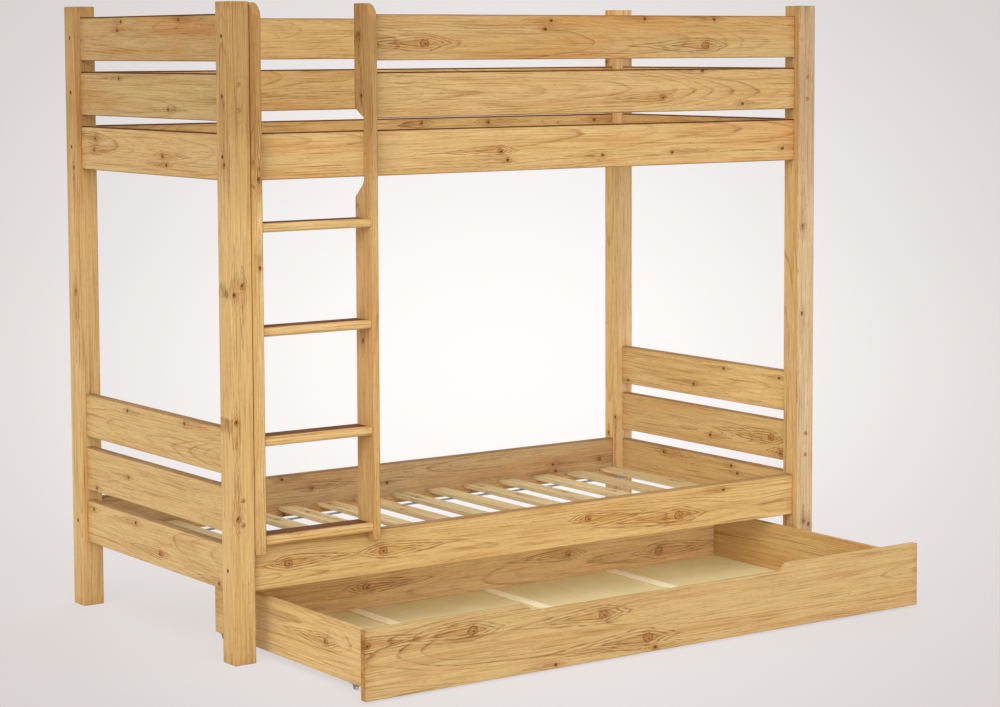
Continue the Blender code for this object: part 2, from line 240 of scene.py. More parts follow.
# How one knot pushes the grain aside, and how far a point is from it, in knot radii: Reach round the knot
# itself, Heart round its dark core, and Eye in the long pointed shape that the grain draws about it.
# A knot is (along, across, radius). With a radius below 0 it runs through from side to side.
def knotFlowGroup():
    inputs = {"Along": "Float", "Across": "Float", "Through": "Float", "Knot": "Vector"}
    outputs = dict.fromkeys(("Push Across", "Push Through", "Reach", "Heart", "Eye"), "Float")
    group, given, drain = newTree("knotFlow", "ShaderNodeTree", inputs, outputs)
    knotAlong, knotAcross, signedRadius = split(given["Knot"])
    sideways = calc("LESS_THAN", signedRadius, 0.0)
    radius = calc("MAXIMUM", calc("ABSOLUTE", signedRadius), 0.00001)
    lateral = made("ShaderNodeMix", {0: sideways, 2: given["Across"], 3: given["Through"]})
    offset = (lateral - knotAcross) / radius
    run = (given["Along"] - knotAlong) / radius
    shortRun = run * knotForm["shorten"]

    # the grain closes again far off on one side of the knot and soon on the other, by the chance of its place
    turned = calc("GREATER_THAN", calc("FRACT", knotAcross * knotForm["turnChance"]), 0.5)
    ahead = calc("COMPARE", calc("GREATER_THAN", run, 0.0), turned, 0.1)
    longRun = run * span(ahead, 0.0, 1.0, knotForm["closeEnd"], knotForm["farEnd"])
    longReach = lengthOf(join(longRun, offset, 0.0))
    pull = calc("DIVIDE", knotForm["pull"], longReach * longReach + knotForm["soften"], clamp=True)
    push = offset * radius * pull * -1.0
    sidePush = push * sideways
    heartPlace = join(shortRun - knotForm["heartAlong"], offset + knotForm["heartAcross"], 0.0)
    shrunk = knotForm["heartLargest"] - radius * knotForm["heartShrink"]
    heartSize = calc("MAXIMUM", shrunk, knotForm["heartLeast"])
    feed(drain, {
        "Push Across": push - sidePush, "Push Through": sidePush,
        "Reach": lengthOf(join(shortRun, offset, 0.0)), "Heart": lengthOf(heartPlace) * (radius / heartSize),
        "Eye": calc("ABSOLUTE", offset) + calc("SQRT", longRun * longRun + knotForm["tip"])})
    return group


knotFlow = knotFlowGroup()

# What all woods here share. Each pattern is (patterns per metre along, across and through the grain, detail,
# roughness), and the rest is in metres.
grainOf = {
    "fade": ((3.0, 40, 40), 3.0, 0.6), "broken": ((45, 520, 520), 2.0, 0.6),
    "fibre": ((9, 300, 300), 3.0, 0.65), "streak": ((2.2, 75, 75),), "dash": ((5, 430, 430), 1.5, 0.45),
    "fleck": ((40, 700, 700), 1.0), "cloud": ((1.3, 11, 11), 3.0, 0.55),
    "eyeFade": ((25, 120, 120),), "arrisPatches": ((20, 60, 60),),
    "wander": (1.5, 0, 0), "wobble": (5, 45, 45), "tear": (110, 190, 190), "eyeSway": (10, 80, 80),
}
reachOf = {
    "arris": 0.0035, "endFace": (0.0012, 0.0002), "soak": (0.032, 0.004), "head": (0.62, 0.30),
    "foot": (0.22, 0.0), "trodden": (-0.026, -0.014), "relief": 0.0004,
}
# between which values a pattern fades in, and for some the share that it starts from
fadeIn = {
    "fade": (0.36, 0.62), "broken": (0.36, 0.60), "cloud": (0.42, 0.68), "streak": (0.5, 0.72, 0.0),
    "dash": (0.57, 0.66, 0.0), "fleck": (0.64, 0.72, 0.0), "eyeFade": (0.35, 0.6, 0.25),
    "roundHalo": (2.4, 1.0, 0.0), "longHalo": (1.9, 1.1, 0.0), "core": (1.2, 0.95), "heart": (1.35, 0.6),
    "arrisPatches": (0.3, 0.7, 0.35), "thirst": (0.42, 0.60, 0.15), "bleach": (-0.4, -0.9),
    "fibreGloss": (0.2, 0.8), "knotGloss": (1.1, 0.9),
}
# how much some parts count in a sum
woodShare = {
    "tornHeart": 1.2, "underArrisShade": 0.45, "ringGloss": -0.06, "knotGloss": 0.10,
    "fibreRelief": 0.5, "ringRelief": 0.5, "fleckRelief": 0.25,
}


def woodMaterial(name, look):
    material, shader, coordinates = newMaterial(name)

    def attribute(layer):
        return made("ShaderNodeAttribute", output="Vector", tree=material.node_tree, attribute_name=layer)

    grain = attribute("grain")
    along, across, through = split(grain)
    half = split(attribute("halfSize"))
    pithAcross, pithThrough, seed = split(attribute("tree"))
    lightness, warmth, ringSpread = split(attribute("tone"))
    # each timber is cut from a place of its own in the patterns
    place = vectorMath("ADD", grain, join(seed * 31.0, seed * 17.0, seed))

    # the heart of the tree wanders along the board, which draws the arched grain
    swayAcross, swayThrough, _ = split(noise(place, grainOf["wander"], 1.0, 0.5, "Color"))
    fromAcross = across - pithAcross - (swayAcross - 0.5) * look["swayAcross"]
    fromThrough = through - pithThrough - (swayThrough - 0.5) * look["swayThrough"] - along * look["taper"]

    nearest, heartReach, eye = 99.0, 99.0, 99.0
    for number in range(1, knotCount + 1):
        feeds = {"Along": along, "Across": across, "Through": through, "Knot": attribute(f"knot{number}")}
        knot = outputsOf(addNode("ShaderNodeGroup", feeds, material.node_tree, node_tree=knotFlow))
        fromAcross = fromAcross + knot["Push Across"]
        fromThrough = fromThrough + knot["Push Through"]
        nearest = calc("MINIMUM", knot["Reach"], nearest)
        heartReach = calc("MINIMUM", knot["Heart"], heartReach)
        eye = calc("MINIMUM", knot["Eye"], eye)

    # yearly rings: a thin dark summer line each, some years faint, and fading in and out along the board
    distance = lengthOf(join(0.0, fromAcross, fromThrough))
    rings = (distance + sway(place, grainOf["wobble"], look["wobble"])) / (ringSpread * look["ringWidth"])
    summer = ramp(calc("FRACT", rings), look["ringLine"])
    yearChance = made("ShaderNodeTexWhiteNoise", {0: join(calc("FLOOR", rings), seed, 0.0)}, "Value")
    fade = span(noise(place, *grainOf["fade"]), *fadeIn["fade"], look["faded"])
    broken = span(noise(place, *grainOf["broken"]), *fadeIn["broken"], look["broken"], 1.15)
    ringShare = summer * ramp(yearChance, look["years"]) * fade * broken * look["ringDepth"]

    fibre, streak, dash, fleck, cloud = (
        noise(place, *grainOf[pattern]) for pattern in ("fibre", "streak", "dash", "fleck", "cloud"))
    colour = blend(ringShare, look["spring"], look["summer"])
    colour = tinted(calc("MULTIPLY", span(cloud, *fadeIn["cloud"]), warmth, clamp=True), colour, look["warm"])
    colour = tinted(span(streak, *fadeIn["streak"], look["streakShare"]), colour, look["streak"])
    colour = tinted(1.0, colour, ramp(fibre, [(0.25, look["fibreDark"]), (0.75, look["fibreLight"])]))
    colour = blend(span(dash, *fadeIn["dash"], look["dashShare"]) * fade, colour, look["summer"])
    colour = blend(span(fleck, *fadeIn["fleck"], look["fleckShare"]), colour, look["fleck"])

    # knots: the eye of bent grain, a halo of stain, a dark rim and a ringed core with its heart off centre
    tear = sway(place, grainOf["tear"], look["tear"])
    ragged = nearest + tear
    eyeLines = ramp((eye + sway(place, grainOf["eyeSway"], look["eyeSway"], 3.0)) * 0.25, look["eyeLines"])
    eyeFade = span(noise(place, *grainOf["eyeFade"]), *fadeIn["eyeFade"], look["eyeShare"])
    colour = blend(eyeLines * eyeFade, colour, look["eyeLine"])
    roundHalo = span(ragged, *fadeIn["roundHalo"], look["haloShare"])
    longHalo = span(eye, *fadeIn["longHalo"], look["haloShare"])
    colour = tinted(calc("MAXIMUM", roundHalo, longHalo), colour, look["knotHalo"])
    coreStops = zip((0.0, 0.2, 0.32, 0.44, 0.56, 0.66), ("Ring", "Core", "Ring", "Core", "Rim", "Rim"))
    core = ramp(ragged * 0.6, [(stop, look["knot" + part]) for stop, part in coreStops])
    colour = blend(span(ragged, *fadeIn["core"]), colour, core)
    tornHeart = heartReach + tear * woodShare["tornHeart"]
    colour = blend(span(tornHeart, *fadeIn["heart"]), colour, look["knotHeart"])

    # arrises darker in patches, and end grain that soaks up more oil
    depths = [size - calc("ABSOLUTE", value) for size, value in zip(half, (along, across, through))]
    near = [span(depth, 0.0, reachOf["arris"], 1.0, 0.0) for depth in depths]
    edge = calc("SUBTRACT", near[0] + near[1] + near[2], 1.0, clamp=True)
    edge = edge * span(noise(place, *grainOf["arrisPatches"]), *fadeIn["arrisPatches"])
    colour = tinted(edge * look["edgeShare"], colour, look["edge"])
    colour = tinted(span(depths[0], *reachOf["endFace"]), colour, look["endGrain"])
    thirst = span(streak, *fadeIn["thirst"], look["soakShare"])
    colour = tinted(span(depths[0], *reachOf["soak"]) * thirst, colour, look["endGrain"])

    # posts and stiles are darker toward the head with painted shade, and a little darker at the foot
    headShadeShare, footShare, _ = split(attribute("headShadeAndFoot"))
    head = span(half[0] - along, *reachOf["head"]) * headShadeShare
    foot = span(half[0] + along, *reachOf["foot"]) * footShare
    colour = tinted(calc("MAXIMUM", head, foot), colour, look["headShadeAndFoot"])

    # Faces that look up are darkened with painted shade, and a line of painted shade runs along the upper
    # arris and fainter along the lower one, each timber by its own share. On the rungs the painted shade
    # stops short of the front of the top, and the front face of some timbers has bleached.
    upShaded, arrisShade, bleached = split(attribute("shadeAndBleach"))
    _, facingBack, facingUp = split(coordinates["Normal"])
    upward = span(facingUp, look["upShadeFrom"], look["upShadeFull"])
    colour = tinted(upward * upShaded * span(across, *reachOf["trodden"]), colour, look["upShade"])
    # painted shade: a dark line along the upper arris, fainter along the lower one
    width = look["arrisShadeWidth"]
    underLine = span(half[1] + across, width * 0.6, width * 0.3, 0.0, woodShare["underArrisShade"])
    upperLine = span(half[1] - across, width, width * 0.6)
    arrisShadeLine = calc("MAXIMUM", upperLine, underLine) * arrisShade * (1.0 - upward)
    colour = tinted(arrisShadeLine, colour, look["arrisShade"])
    bleached = bleached * span(facingBack, *fadeIn["bleach"])
    tones = {"Value": lightness + 1.0, "Saturation": 1.0 - bleached, "Color": colour}

    rough = span(fibre, *fadeIn["fibreGloss"], look["smooth"], look["rough"])
    rough = rough + ringShare * woodShare["ringGloss"]
    rough = rough - span(ragged, *fadeIn["knotGloss"]) * woodShare["knotGloss"]
    relief = fibre * woodShare["fibreRelief"] + ringShare * woodShare["ringRelief"]
    relief = relief + fleck * woodShare["fleckRelief"]
    feed(shader, {
        "Base Color": made("ShaderNodeHueSaturation", tones),
        "Roughness": calc("ADD", rough, upward * look["upRough"], clamp=True),
        "Normal": bump(relief, look["bump"], reachOf["relief"]),
        "Specular IOR Level": look["specular"]})
    return material


oiled = {
    "spring": linear(216, 186, 131), "summer": linear(142, 88, 34), "warm": linear(248, 220, 194),
    "streak": linear(226, 204, 178), "fleck": linear(136, 88, 42), "edge": linear(206, 174, 136),
    "endGrain": linear(234, 216, 192), "knotHeart": linear(104, 60, 26), "knotCore": linear(184, 138, 84),
    "knotRing": linear(162, 114, 64), "knotRim": linear(128, 82, 40), "knotHalo": linear(226, 198, 160),
    "eyeLine": linear(132, 80, 30), "headShadeAndFoot": linear(206, 190, 172),
    # colours and reach of the painted shade on upward faces and along the arrises
    "upShade": linear(138, 108, 94), "upShadeFrom": 0.80, "upShadeFull": 0.96,
    "arrisShade": linear(114, 74, 38), "arrisShadeWidth": 0.0050,
    "ringLine": [(0.0, 0.25), (0.06, 0.0), (0.55, 0.03), (0.80, 0.25), (0.92, 1.0), (1.0, 0.85)],
    "years": [(0.0, 0.14), (0.45, 0.28), (0.8, 0.65), (1.0, 1.0)],
    "eyeLines": [(0.27, 0.0), (0.33, 1.0), (0.38, 0.0), (0.45, 0.0), (0.51, 1.0), (0.57, 0.0),
                 (0.64, 0.0), (0.71, 0.85), (0.78, 0.0)],
    "ringWidth": 0.0055, "ringDepth": 1.0, "broken": 0.35, "faded": 0.25, "wobble": 0.0030,
    "swayAcross": 0.055, "swayThrough": 0.05, "taper": 0.035,
    "fibreDark": (0.83, 0.75, 0.64, 1), "fibreLight": (1.10, 1.11, 1.11, 1),
    "streakShare": 0.5, "dashShare": 0.62, "fleckShare": 0.55, "soakShare": 0.7, "edgeShare": 0.7,
    "tear": 1.1, "eyeSway": 1.3, "eyeShare": 0.95, "haloShare": 0.5,
    "smooth": 0.46, "rough": 0.62, "upRough": 0.3, "bump": 0.35, "specular": 0.08,
}
sawn = {
    **oiled, "spring": linear(228, 211, 168), "summer": linear(178, 150, 104), "warm": linear(246, 234, 216),
    "streak": linear(226, 214, 192), "edge": linear(206, 184, 152), "endGrain": linear(216, 200, 174),
    "knotHalo": linear(226, 200, 166), "ringDepth": 0.6, "dashShare": 0.3, "edgeShare": 0.5,
    "smooth": 0.66, "rough": 0.86, "bump": 0.6,
}
planedPale = {
    **sawn, "spring": linear(255, 246, 214), "summer": linear(228, 200, 148), "warm": linear(252, 246, 236),
    "streak": linear(244, 238, 226), "fibreDark": (0.95, 0.94, 0.92, 1), "fibreLight": (1.02, 1.02, 1.02, 1),
    "ringDepth": 0.4, "dashShare": 0.2, "fleckShare": 0.2, "edgeShare": 0.3,
    "smooth": 0.55, "rough": 0.70, "bump": 0.35, "specular": 0.3,
}
oiledPine = woodMaterial("oiledPine", oiled)
sawnPine = woodMaterial("sawnPine", sawn)
palePine = woodMaterial("palePine", planedPale)
print("wood materials ready")

# Timbers

# Knots one by one, in millimetres: (distance from the left, near or lower end, height above the lower edge,
# radius), and for a post or stile (height, distance from the front, radius), with a radius below 0 on its
# front and back faces, where the distance is from the left.
knotsOf = {
    "front_guard_2": [
        (183, 48, 10), (625, 113, 4), (603, 88, 4), (1209, 38, 10), (973, 119, 4), (1242, 119, 5)],
    "front_guard_1": [(1357, 20, 4), (1042, 44, 7), (1197, 124, 5)],
    "upper_front_rail": [(836, 59, 7), (861, 33, 4), (1207, 37, 5), (1473, 39, 5), (1915, 39, 5)],
    "lower_front_rail": [(1152, 76, 8), (1501, 48, 12), (1679, 109, 4), (424, 65, 10), (115, 66, 9)],
    "upper_rear_rail": [(1177, 112, 6), (1442, 110, 6), (1884, 110, 6), (420, 50, 8)],
    "lower_rear_rail": [
        (1905, 61, 7), (637, 118, 5), (747, 80, 7), (1033, 67, 4), (1706, 61, 4), (1717, 38, 4)],
    "lower_right_end_board_3": [(321, 106, 4), (477, 39, 5), (47, 102, 4), (832, 13, 4)],
    "lower_right_end_board_1": [(633, 112, 6), (282, 110, 4), (252, 88, 4)],
    "lower_right_end_board_2": [(388, 38, 4), (85, 66, 10), (34, 23, 8)],
    "upper_left_end_board_3": [(595, 114, 4), (618, 89, 5), (241, 116, 5)],
    "upper_left_end_board_2": [(614, 111, 4), (310, 26, 4)],
    "upper_left_end_board_1": [(769, 95, 7), (347, 56, 6), (325, 31, 4), (780, 60, 6)],
    "lower_left_end_board_3": [(591, 109, 4), (240, 113, 5)],
    "lower_left_end_board_2": [(593, 73, 4), (801, 13, 4)],
    "lower_left_end_board_1": [(823, 106, 5), (549, 107, 5), (397, 40, 7), (49, 13, 6)],
    "drawer_front": [(335, 141, 11), (768, 127, 11), (923, 41, 12), (947, 12, 6), (605, 11, 4), (4, 146, 9)],
    "drawer_back": [(475, 70, 9), (1219, 79, 8), (1583, 48, 11)],
    "drawer_side_left": [(253, 88, 8), (700, 100, 5)],
    "post_front_left": [(1365, 27, 6), (1038, 37, -6), (1015, 12, -5), (668, 14, -6), (403, 16, -6)],
    "post_front_right": [(171, 29, -6), (160, 51, -5), (1113, 20, -6), (837, 18, -5)],
    "post_rear_right": [(398, 10, 4), (338, 47, 5), (1625, 58, 6)],
    "ladder_stile_left": [(1025, 12, -6), (786, 12, -4)],
    "ladder_stile_right": [(1413, 62, 9), (1246, 48, 4), (560, 50, 5)],
    "drawer_batten_1": [], "drawer_batten_2": [], "drawer_batten_3": [],
}
timberLooks = {
    "tone": 0.02, "warmth": (0.15, 0.85), "ringSpread": (0.75, 1.35),
    "depthOfHeart": (0.045, 0.095), "sideOfHeart": 0.045,
    "chanceKnot": (0.003, 0.009), "chancePlace": ((0.05, 0.95), (0.1, 0.9)),
    # each timber's share of painted shade on its upward faces and along its arrises
    "boardUpShade": 0.55, "rungUpShade": 1.0, "arrisShade": {"lower": 0.45, "middle": 1.0, "top": 0.35},
}
# lighter or darker timbers, (lightness, warmth): partly each timber's own tone, and partly painted light and
# shade, as the upper left end boards darker toward the top, the right drawer side darker, and the drawer back
# and the rear right post lighter
toneAndShadeOf = {
    "front_guard_2": (-0.10, 0.9), "front_guard_1": (-0.03, 0.3), "upper_front_rail": (0.04, 0.9),
    "upper_left_end_board_3": (-0.24, 1.0), "upper_left_end_board_2": (-0.22, 0.8),
    "upper_left_end_board_1": (-0.08, 0.4), "lower_left_end_board_3": (-0.03, 0.2),
    "lower_left_end_board_2": (-0.04, 0.1), "lower_left_end_board_1": (-0.02, 0.0),
    "lower_right_end_board_3": (0.16, 0.2), "lower_right_end_board_2": (0.06, 0.5),
    "lower_front_rail": (0.10, 0.1), "lower_rear_rail": (-0.06, 0.7),
    "drawer_front": (-0.08, 0.1), "drawer_side_left": (0.04, 0.0), "drawer_back": (0.34, 0.5),
    "drawer_side_right": (-0.10, 0.6), "drawer_batten_1": (0.05, 0.0), "drawer_batten_2": (0.04, 0.0),
    "drawer_batten_3": (0.0, 0.2), "post_front_left": (0.03, 0.2), "post_front_right": (0.03, 0.3),
    "post_rear_left": (0.0, 0.3), "post_rear_right": (0.27, 0.1),
    "ladder_stile_left": (0.10, 0.0), "ladder_stile_right": (0.01, 0.5), "ladder_rung_1": (0.10, 0.3),
    "ladder_rung_2": (0.12, 0.1), "ladder_rung_3": (0.12, 0.1), "ladder_rung_4": (0.10, 0.2),
}
# how far a post or stile is darkened by painted shade at its head, and at its foot
headShadeAndFootOf = {
    "post_front_left": (0.66, 0.40), "post_rear_left": (0.66, 0.27),
    "post_front_right": (0.50, 0.33), "post_rear_right": (0.27, 0.20),
    "ladder_stile_left": (0.95, 0.27), "ladder_stile_right": (0.75, 0.13),
}
bleachOf = {"post_front_right": 0.19, "drawer_back": 0.12, "lower_rear_rail": 0.12, "post_rear_right": 0.10}


# one vector for each vertex, or the same one for all
def fill(mesh, name, values):
    layer = mesh.attributes.new(name, "FLOAT_VECTOR", "POINT")
    if isinstance(values, (tuple, Vector)):
        values = [values] * len(mesh.vertices)
    layer.data.foreach_set("vector", [number for value in values for number in value])


# writes what the wood shader reads; run is the axis of the grain and thick that of the thin side
def markGrain(mesh, name, run, thick):
    across = 3 - run - thick
    points = [vertex.co for vertex in mesh.vertices]
    low = Vector(min(p[i] for p in points) for i in range(3))
    high = Vector(max(p[i] for p in points) for i in range(3))
    middle, half = (low + high) / 2, (high - low) / 2
    order = (run, across, thick)
    fill(mesh, "grain", [Vector(p[i] - middle[i] for i in order) for p in points])
    fill(mesh, "halfSize", Vector(half[i] for i in order))
    chance = random.Random(name)
    heart = chance.choice((-1, 1)) * chance.uniform(*timberLooks["depthOfHeart"])
    aside = chance.uniform(-1, 1) * timberLooks["sideOfHeart"]
    fill(mesh, "tree", Vector((aside, heart, chance.uniform(1, 50))))
    tone, warmth = chance.uniform(-1, 1) * timberLooks["tone"], chance.uniform(*timberLooks["warmth"])
    # the listed tones hold painted light and shade as well as each timber's own tone
    if name in toneAndShadeOf:
        tone, warmth = toneAndShadeOf[name]
    fill(mesh, "tone", Vector((tone, warmth, chance.uniform(*timberLooks["ringSpread"]))))
    # how much painted shade each timber takes on its upward faces and arrises
    board = "rail" in name or "board" in name or "guard" in name
    upShade = timberLooks["boardUpShade"] if board else timberLooks["rungUpShade"] if "rung" in name else 0.0
    tier = "lower" if name.startswith("lower") else "top" if name.endswith("guard_2") else "middle"
    arrisShade = timberLooks["arrisShade"][tier] if board else 0.0
    fill(mesh, "shadeAndBleach", Vector((upShade, arrisShade, bleachOf.get(name, 0.0))))
    fill(mesh, "headShadeAndFoot", Vector((*headShadeAndFootOf.get(name, (0.0, 0.0)), 0.0)))
    knots = [tuple(value / 1000 for value in knot) for knot in knotsOf.get(name, ())]
    while len(knots) < chance.choice((1, 2, 3, 4)) and name not in knotsOf:
        along, height = (chance.uniform(*limits) * 2 for limits in timberLooks["chancePlace"])
        knots.append((along * half[run], height * half[across], chance.uniform(*timberLooks["chanceKnot"])))
    knots += [farKnot] * (knotCount - len(knots))
    for number, (reach, height, radius) in enumerate(knots, 1):
        side = half[thick] if radius < 0 else half[across]
        fill(mesh, f"knot{number}", Vector((reach - half[run], height - side, radius)))


def smoothed(mesh, angle=50):
    mesh.shade_smooth()
    mesh.set_sharp_from_angle(angle=math.radians(angle))


def newObject(name, data):
    thing = bpy.data.objects.new(name, data)
    bpy.context.scene.collection.objects.link(thing)
    return thing


# puts a finished mesh in the scene, on its body and in place of its CAD nodes
def newPiece(name, mesh, material, body, slot, *nodes):
    piece = newObject(name, mesh)
    mesh.materials.clear()
    mesh.materials.append(material)
    modifier = piece.modifiers.new("evenNormals", "WEIGHTED_NORMAL")
    modifier.keep_sharp = True
    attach(piece, body)
    if nodes:
        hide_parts(*nodes)


def meshOf(shape, name):
    bmesh.ops.recalc_face_normals(shape, faces=shape.faces[:])
    mesh = bpy.data.meshes.new(name)
    shape.to_mesh(mesh)
    shape.free()
    smoothed(mesh)
    return mesh


def rounded(shape, edges, edge, steps):
    bmesh.ops.bevel(shape, geom=edges, offset=edge, segments=steps, profile=0.5, affect="EDGES")


# a planed board with rounded arrises
def plankMesh(name, low, high, edge, steps=3):
    shape = bmesh.new()
    bmesh.ops.create_cube(shape, size=1)
    middle, size = (low + high) / 2, high - low
    for vertex in shape.verts:
        vertex.co = Vector(m + c * s for m, c, s in zip(middle, vertex.co, size))
    rounded(shape, shape.edges[:], edge, steps)
    return meshOf(shape, name)


# a flat outline drawn out along X or Y, with its convex arrises rounded
def prismMesh(name, outline, axis, low, high, edge, steps=3):
    shape = bmesh.new()
    place = {acrossX: lambda d, p: (d, p[0], p[1]), alongY: lambda d, p: (p[0], d, p[1])}[axis]
    first = [shape.verts.new(place(low, point)) for point in outline]
    second = [shape.verts.new(place(high, point)) for point in outline]
    shape.faces.new(first)
    shape.faces.new(list(reversed(second)))
    for i in range(len(outline)):
        j = (i + 1) % len(outline)
        shape.faces.new((first[j], first[i], second[i], second[j]))
    bmesh.ops.recalc_face_normals(shape, faces=shape.faces[:])
    shape.normal_update()
    sharp = [e for e in shape.edges if e.calc_face_angle(0) > math.radians(35) and e.is_convex]
    rounded(shape, sharp, edge, steps)
    return meshOf(shape, name)


# one timber in place of its CAD node; a plain plank, or the mesh that is given
def timber(node, run, thick, edge=None, mesh=None, material=oiledPine, slot="pine"):
    mesh = mesh or plankMesh(node, *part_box(node), edge)
    markGrain(mesh, node, run, thick)
    newPiece("pine_" + node, mesh, material, bodyOf[node], slot, node)


def nodesNamed(start):
    return sorted(name for name in bodyOf if name.startswith(start))


# Heads and holes of the fittings


# every Geometry Nodes tree here ends in this
def finishTree(geometry, material, drain):
    real = made("GeometryNodeRealizeInstances", {"Geometry": geometry})
    feed(drain, {0: made("GeometryNodeSetMaterial", {"Geometry": real, "Material": material})})


crossWaist = 0.42


# turned about Z: round rings, then those of a hex or cross drive, each as (radius, height)
def headMesh(name, rings, form="round", driveRings=(), sides=24):
    shape = bmesh.new()
    rows = []
    for number, (radius, height) in enumerate([*rings, *driveRings]):
        driven = number >= len(rings)
        row = []
        for i in range(sides):
            angle = 2 * math.pi * i / sides
            reach = radius
            if driven and form == "hex":
                reach = radius * math.cos(math.pi / 6) / math.cos(angle % (math.pi / 3) - math.pi / 6)
            if driven and form == "cross":
                reach = radius * (1.0 if i % (sides // 4) in (0, 1, sides // 4 - 1) else crossWaist)
            row.append(shape.verts.new((reach * math.cos(angle), reach * math.sin(angle), height)))
        rows.append(row)
    for lower, upper in zip(rows, rows[1:]):
        for i in range(sides):
            j = (i + 1) % sides
            shape.faces.new((lower[i], lower[j], upper[j], upper[i]))
    shape.faces.new(list(reversed(rows[0])))
    shape.faces.new(rows[-1])
    return meshOf(shape, name)


# one copy of a head at each point, turned to the point's facing and spun by chance
def scatterTree():
    inputs = {"Points": "Geometry", "Head": "Object", "Turn Seed": "Int", "Finish": "Material"}
    tree, given, drain = newTree("scatterHeads", "GeometryNodeTree", inputs, {"Heads": "Geometry"})
    head = made("GeometryNodeObjectInfo", {"Object": given["Head"]}, "Geometry")
    facing = made("GeometryNodeInputNamedAttribute", {"Name": "facing"}, tree=tree, data_type="FLOAT_VECTOR")
    facing = made("FunctionNodeAlignRotationToVector", {"Vector": facing}, axis="Z")
    spin = made("FunctionNodeRandomValue", {2: 0.0, 3: 2 * math.pi, "Seed": given["Turn Seed"]}, 1)
    spin = made("FunctionNodeEulerToRotation", {0: join(0.0, 0.0, spin)})
    both = made("FunctionNodeRotateRotation", {0: facing, 1: spin}, rotation_space="LOCAL")
    feeds = {"Points": given["Points"], "Instance": head, "Rotation": both}
    finishTree(made("GeometryNodeInstanceOnPoints", feeds), given["Finish"], drain)
    return tree


# an object's mesh with its modifiers applied, and the object gone
def meshFrom(thing, name):
    bpy.context.view_layer.update()
    graph = bpy.context.evaluated_depsgraph_get()
    result = thing.evaluated_get(graph)
    mesh = bpy.data.meshes.new_from_object(result, preserve_all_data_layers=True, depsgraph=graph)
    mesh.name = name
    thing.modifiers.clear()
    bpy.data.objects.remove(thing)
    smoothed(mesh)
    return mesh


# runs a Geometry Nodes tree on a mesh and returns the result as a plain mesh
def madeBy(tree, carrierMesh, values, name):
    carrier = newObject(name, carrierMesh)
    modifier = carrier.modifiers.new(tree.name, "NODES")
    modifier.node_group = tree
    for item in tree.interface.items_tree:
        if item.item_type == "SOCKET" and item.in_out == "INPUT" and item.name in values:
            modifier[item.identifier] = values[item.name]
    return meshFrom(carrier, name)


scatterHeads = scatterTree()


# places are (point, facing)
def headsMesh(name, head, places, material):
    points = bpy.data.meshes.new(name + "Points")
    points.from_pydata([tuple(point) for point, _ in places], [], [])
    fill(points, "facing", [Vector(facing) for _, facing in places])
    pattern = bpy.data.objects.new(name + "Pattern", head)
    mesh = madeBy(scatterHeads, points, {"Head": pattern, "Turn Seed": 3, "Finish": material}, name)
    bpy.data.objects.remove(pattern)
    return mesh


# plated or patinated metal: fine scratches, and tarnish in clouds
def metalMaterial(name, look):
    material, shader, coordinates = newMaterial(name)
    cloud = noise(coordinates["Object"], (180, 180, 180), 3.0, 0.6)
    scratch = noise(coordinates["Object"], (2600, 300, 2600))
    feed(shader, {
        "Base Color": blend(span(cloud, 0.35, 0.7), look["colour"], look["tarnish"]),
        "Roughness": span(scratch, 0.3, 0.7, look["smooth"], look["rough"]),
        "Normal": bump(scratch, 0.2, 0.0001), "Metallic": look["metallic"]})
    return material


bronze = metalMaterial("bronzedBolt", {
    "colour": linear(204, 162, 106), "tarnish": linear(160, 118, 70),
    "smooth": 0.32, "rough": 0.50, "metallic": 0.35})
brownSteel = metalMaterial("brownedSteel", {
    "colour": linear(96, 62, 34), "tarnish": linear(66, 40, 22),
    "smooth": 0.55, "rough": 0.75, "metallic": 0.1})
zinc = metalMaterial("zincPlate", {
    "colour": linear(150, 154, 162), "tarnish": linear(108, 112, 122),
    "smooth": 0.30, "rough": 0.50, "metallic": 0.85})

# Posts

posts = {
    "edge": 0.003, "boltHoleRadius": 0.0070, "boltHoleDepth": 0.0022,
    "pinHoleRadius": 0.0060, "pinHoleDepth": 0.0018,
    "boltFromSide": 0.0315, "boltHeights": (1.582, 1.5135, 0.4535, 0.3855),
    "pinFromFront": 0.0350, "pinHeights": (1.712, 1.550, 1.388, 0.2585),
}


# (bolt places, pin places) of a post, as (point on the surface, facing)
def postFittings(low, high):
    left, front = low.x < 0, low.y < 0
    endFace, endWay = (low.x, -1) if left else (high.x, 1)
    sideFace, sideWay = (low.y, -1) if front else (high.y, 1)
    boltX = low.x + posts["boltFromSide"] if left else high.x - posts["boltFromSide"]
    pinY = low.y + posts["pinFromFront"] if front else high.y - posts["pinFromFront"]
    bolts = [(Vector((boltX, sideFace, z)), Vector((0, sideWay, 0))) for z in posts["boltHeights"]]
    pins = [(Vector((endFace, pinY, z)), Vector((endWay, 0, 0))) for z in posts["pinHeights"]]
    return bolts, pins


# cuts a row of blind holes into a mesh, and gives the places of their floors
def drilled(mesh, name, places, radius, depth, clear=0.002):
    drill = headMesh("drill", [(radius, -depth), (radius, clear)])
    cutter = newObject("drillRow", headsMesh("drillRow", drill, places, None))
    blank = newObject(name, mesh)
    cut = blank.modifiers.new("drill", "BOOLEAN")
    cut.operation, cut.solver, cut.object = "DIFFERENCE", "EXACT", cutter
    result = meshFrom(blank, name)
    bpy.data.objects.remove(cutter)
    return result, [(point - facing * depth, facing) for point, facing in places]


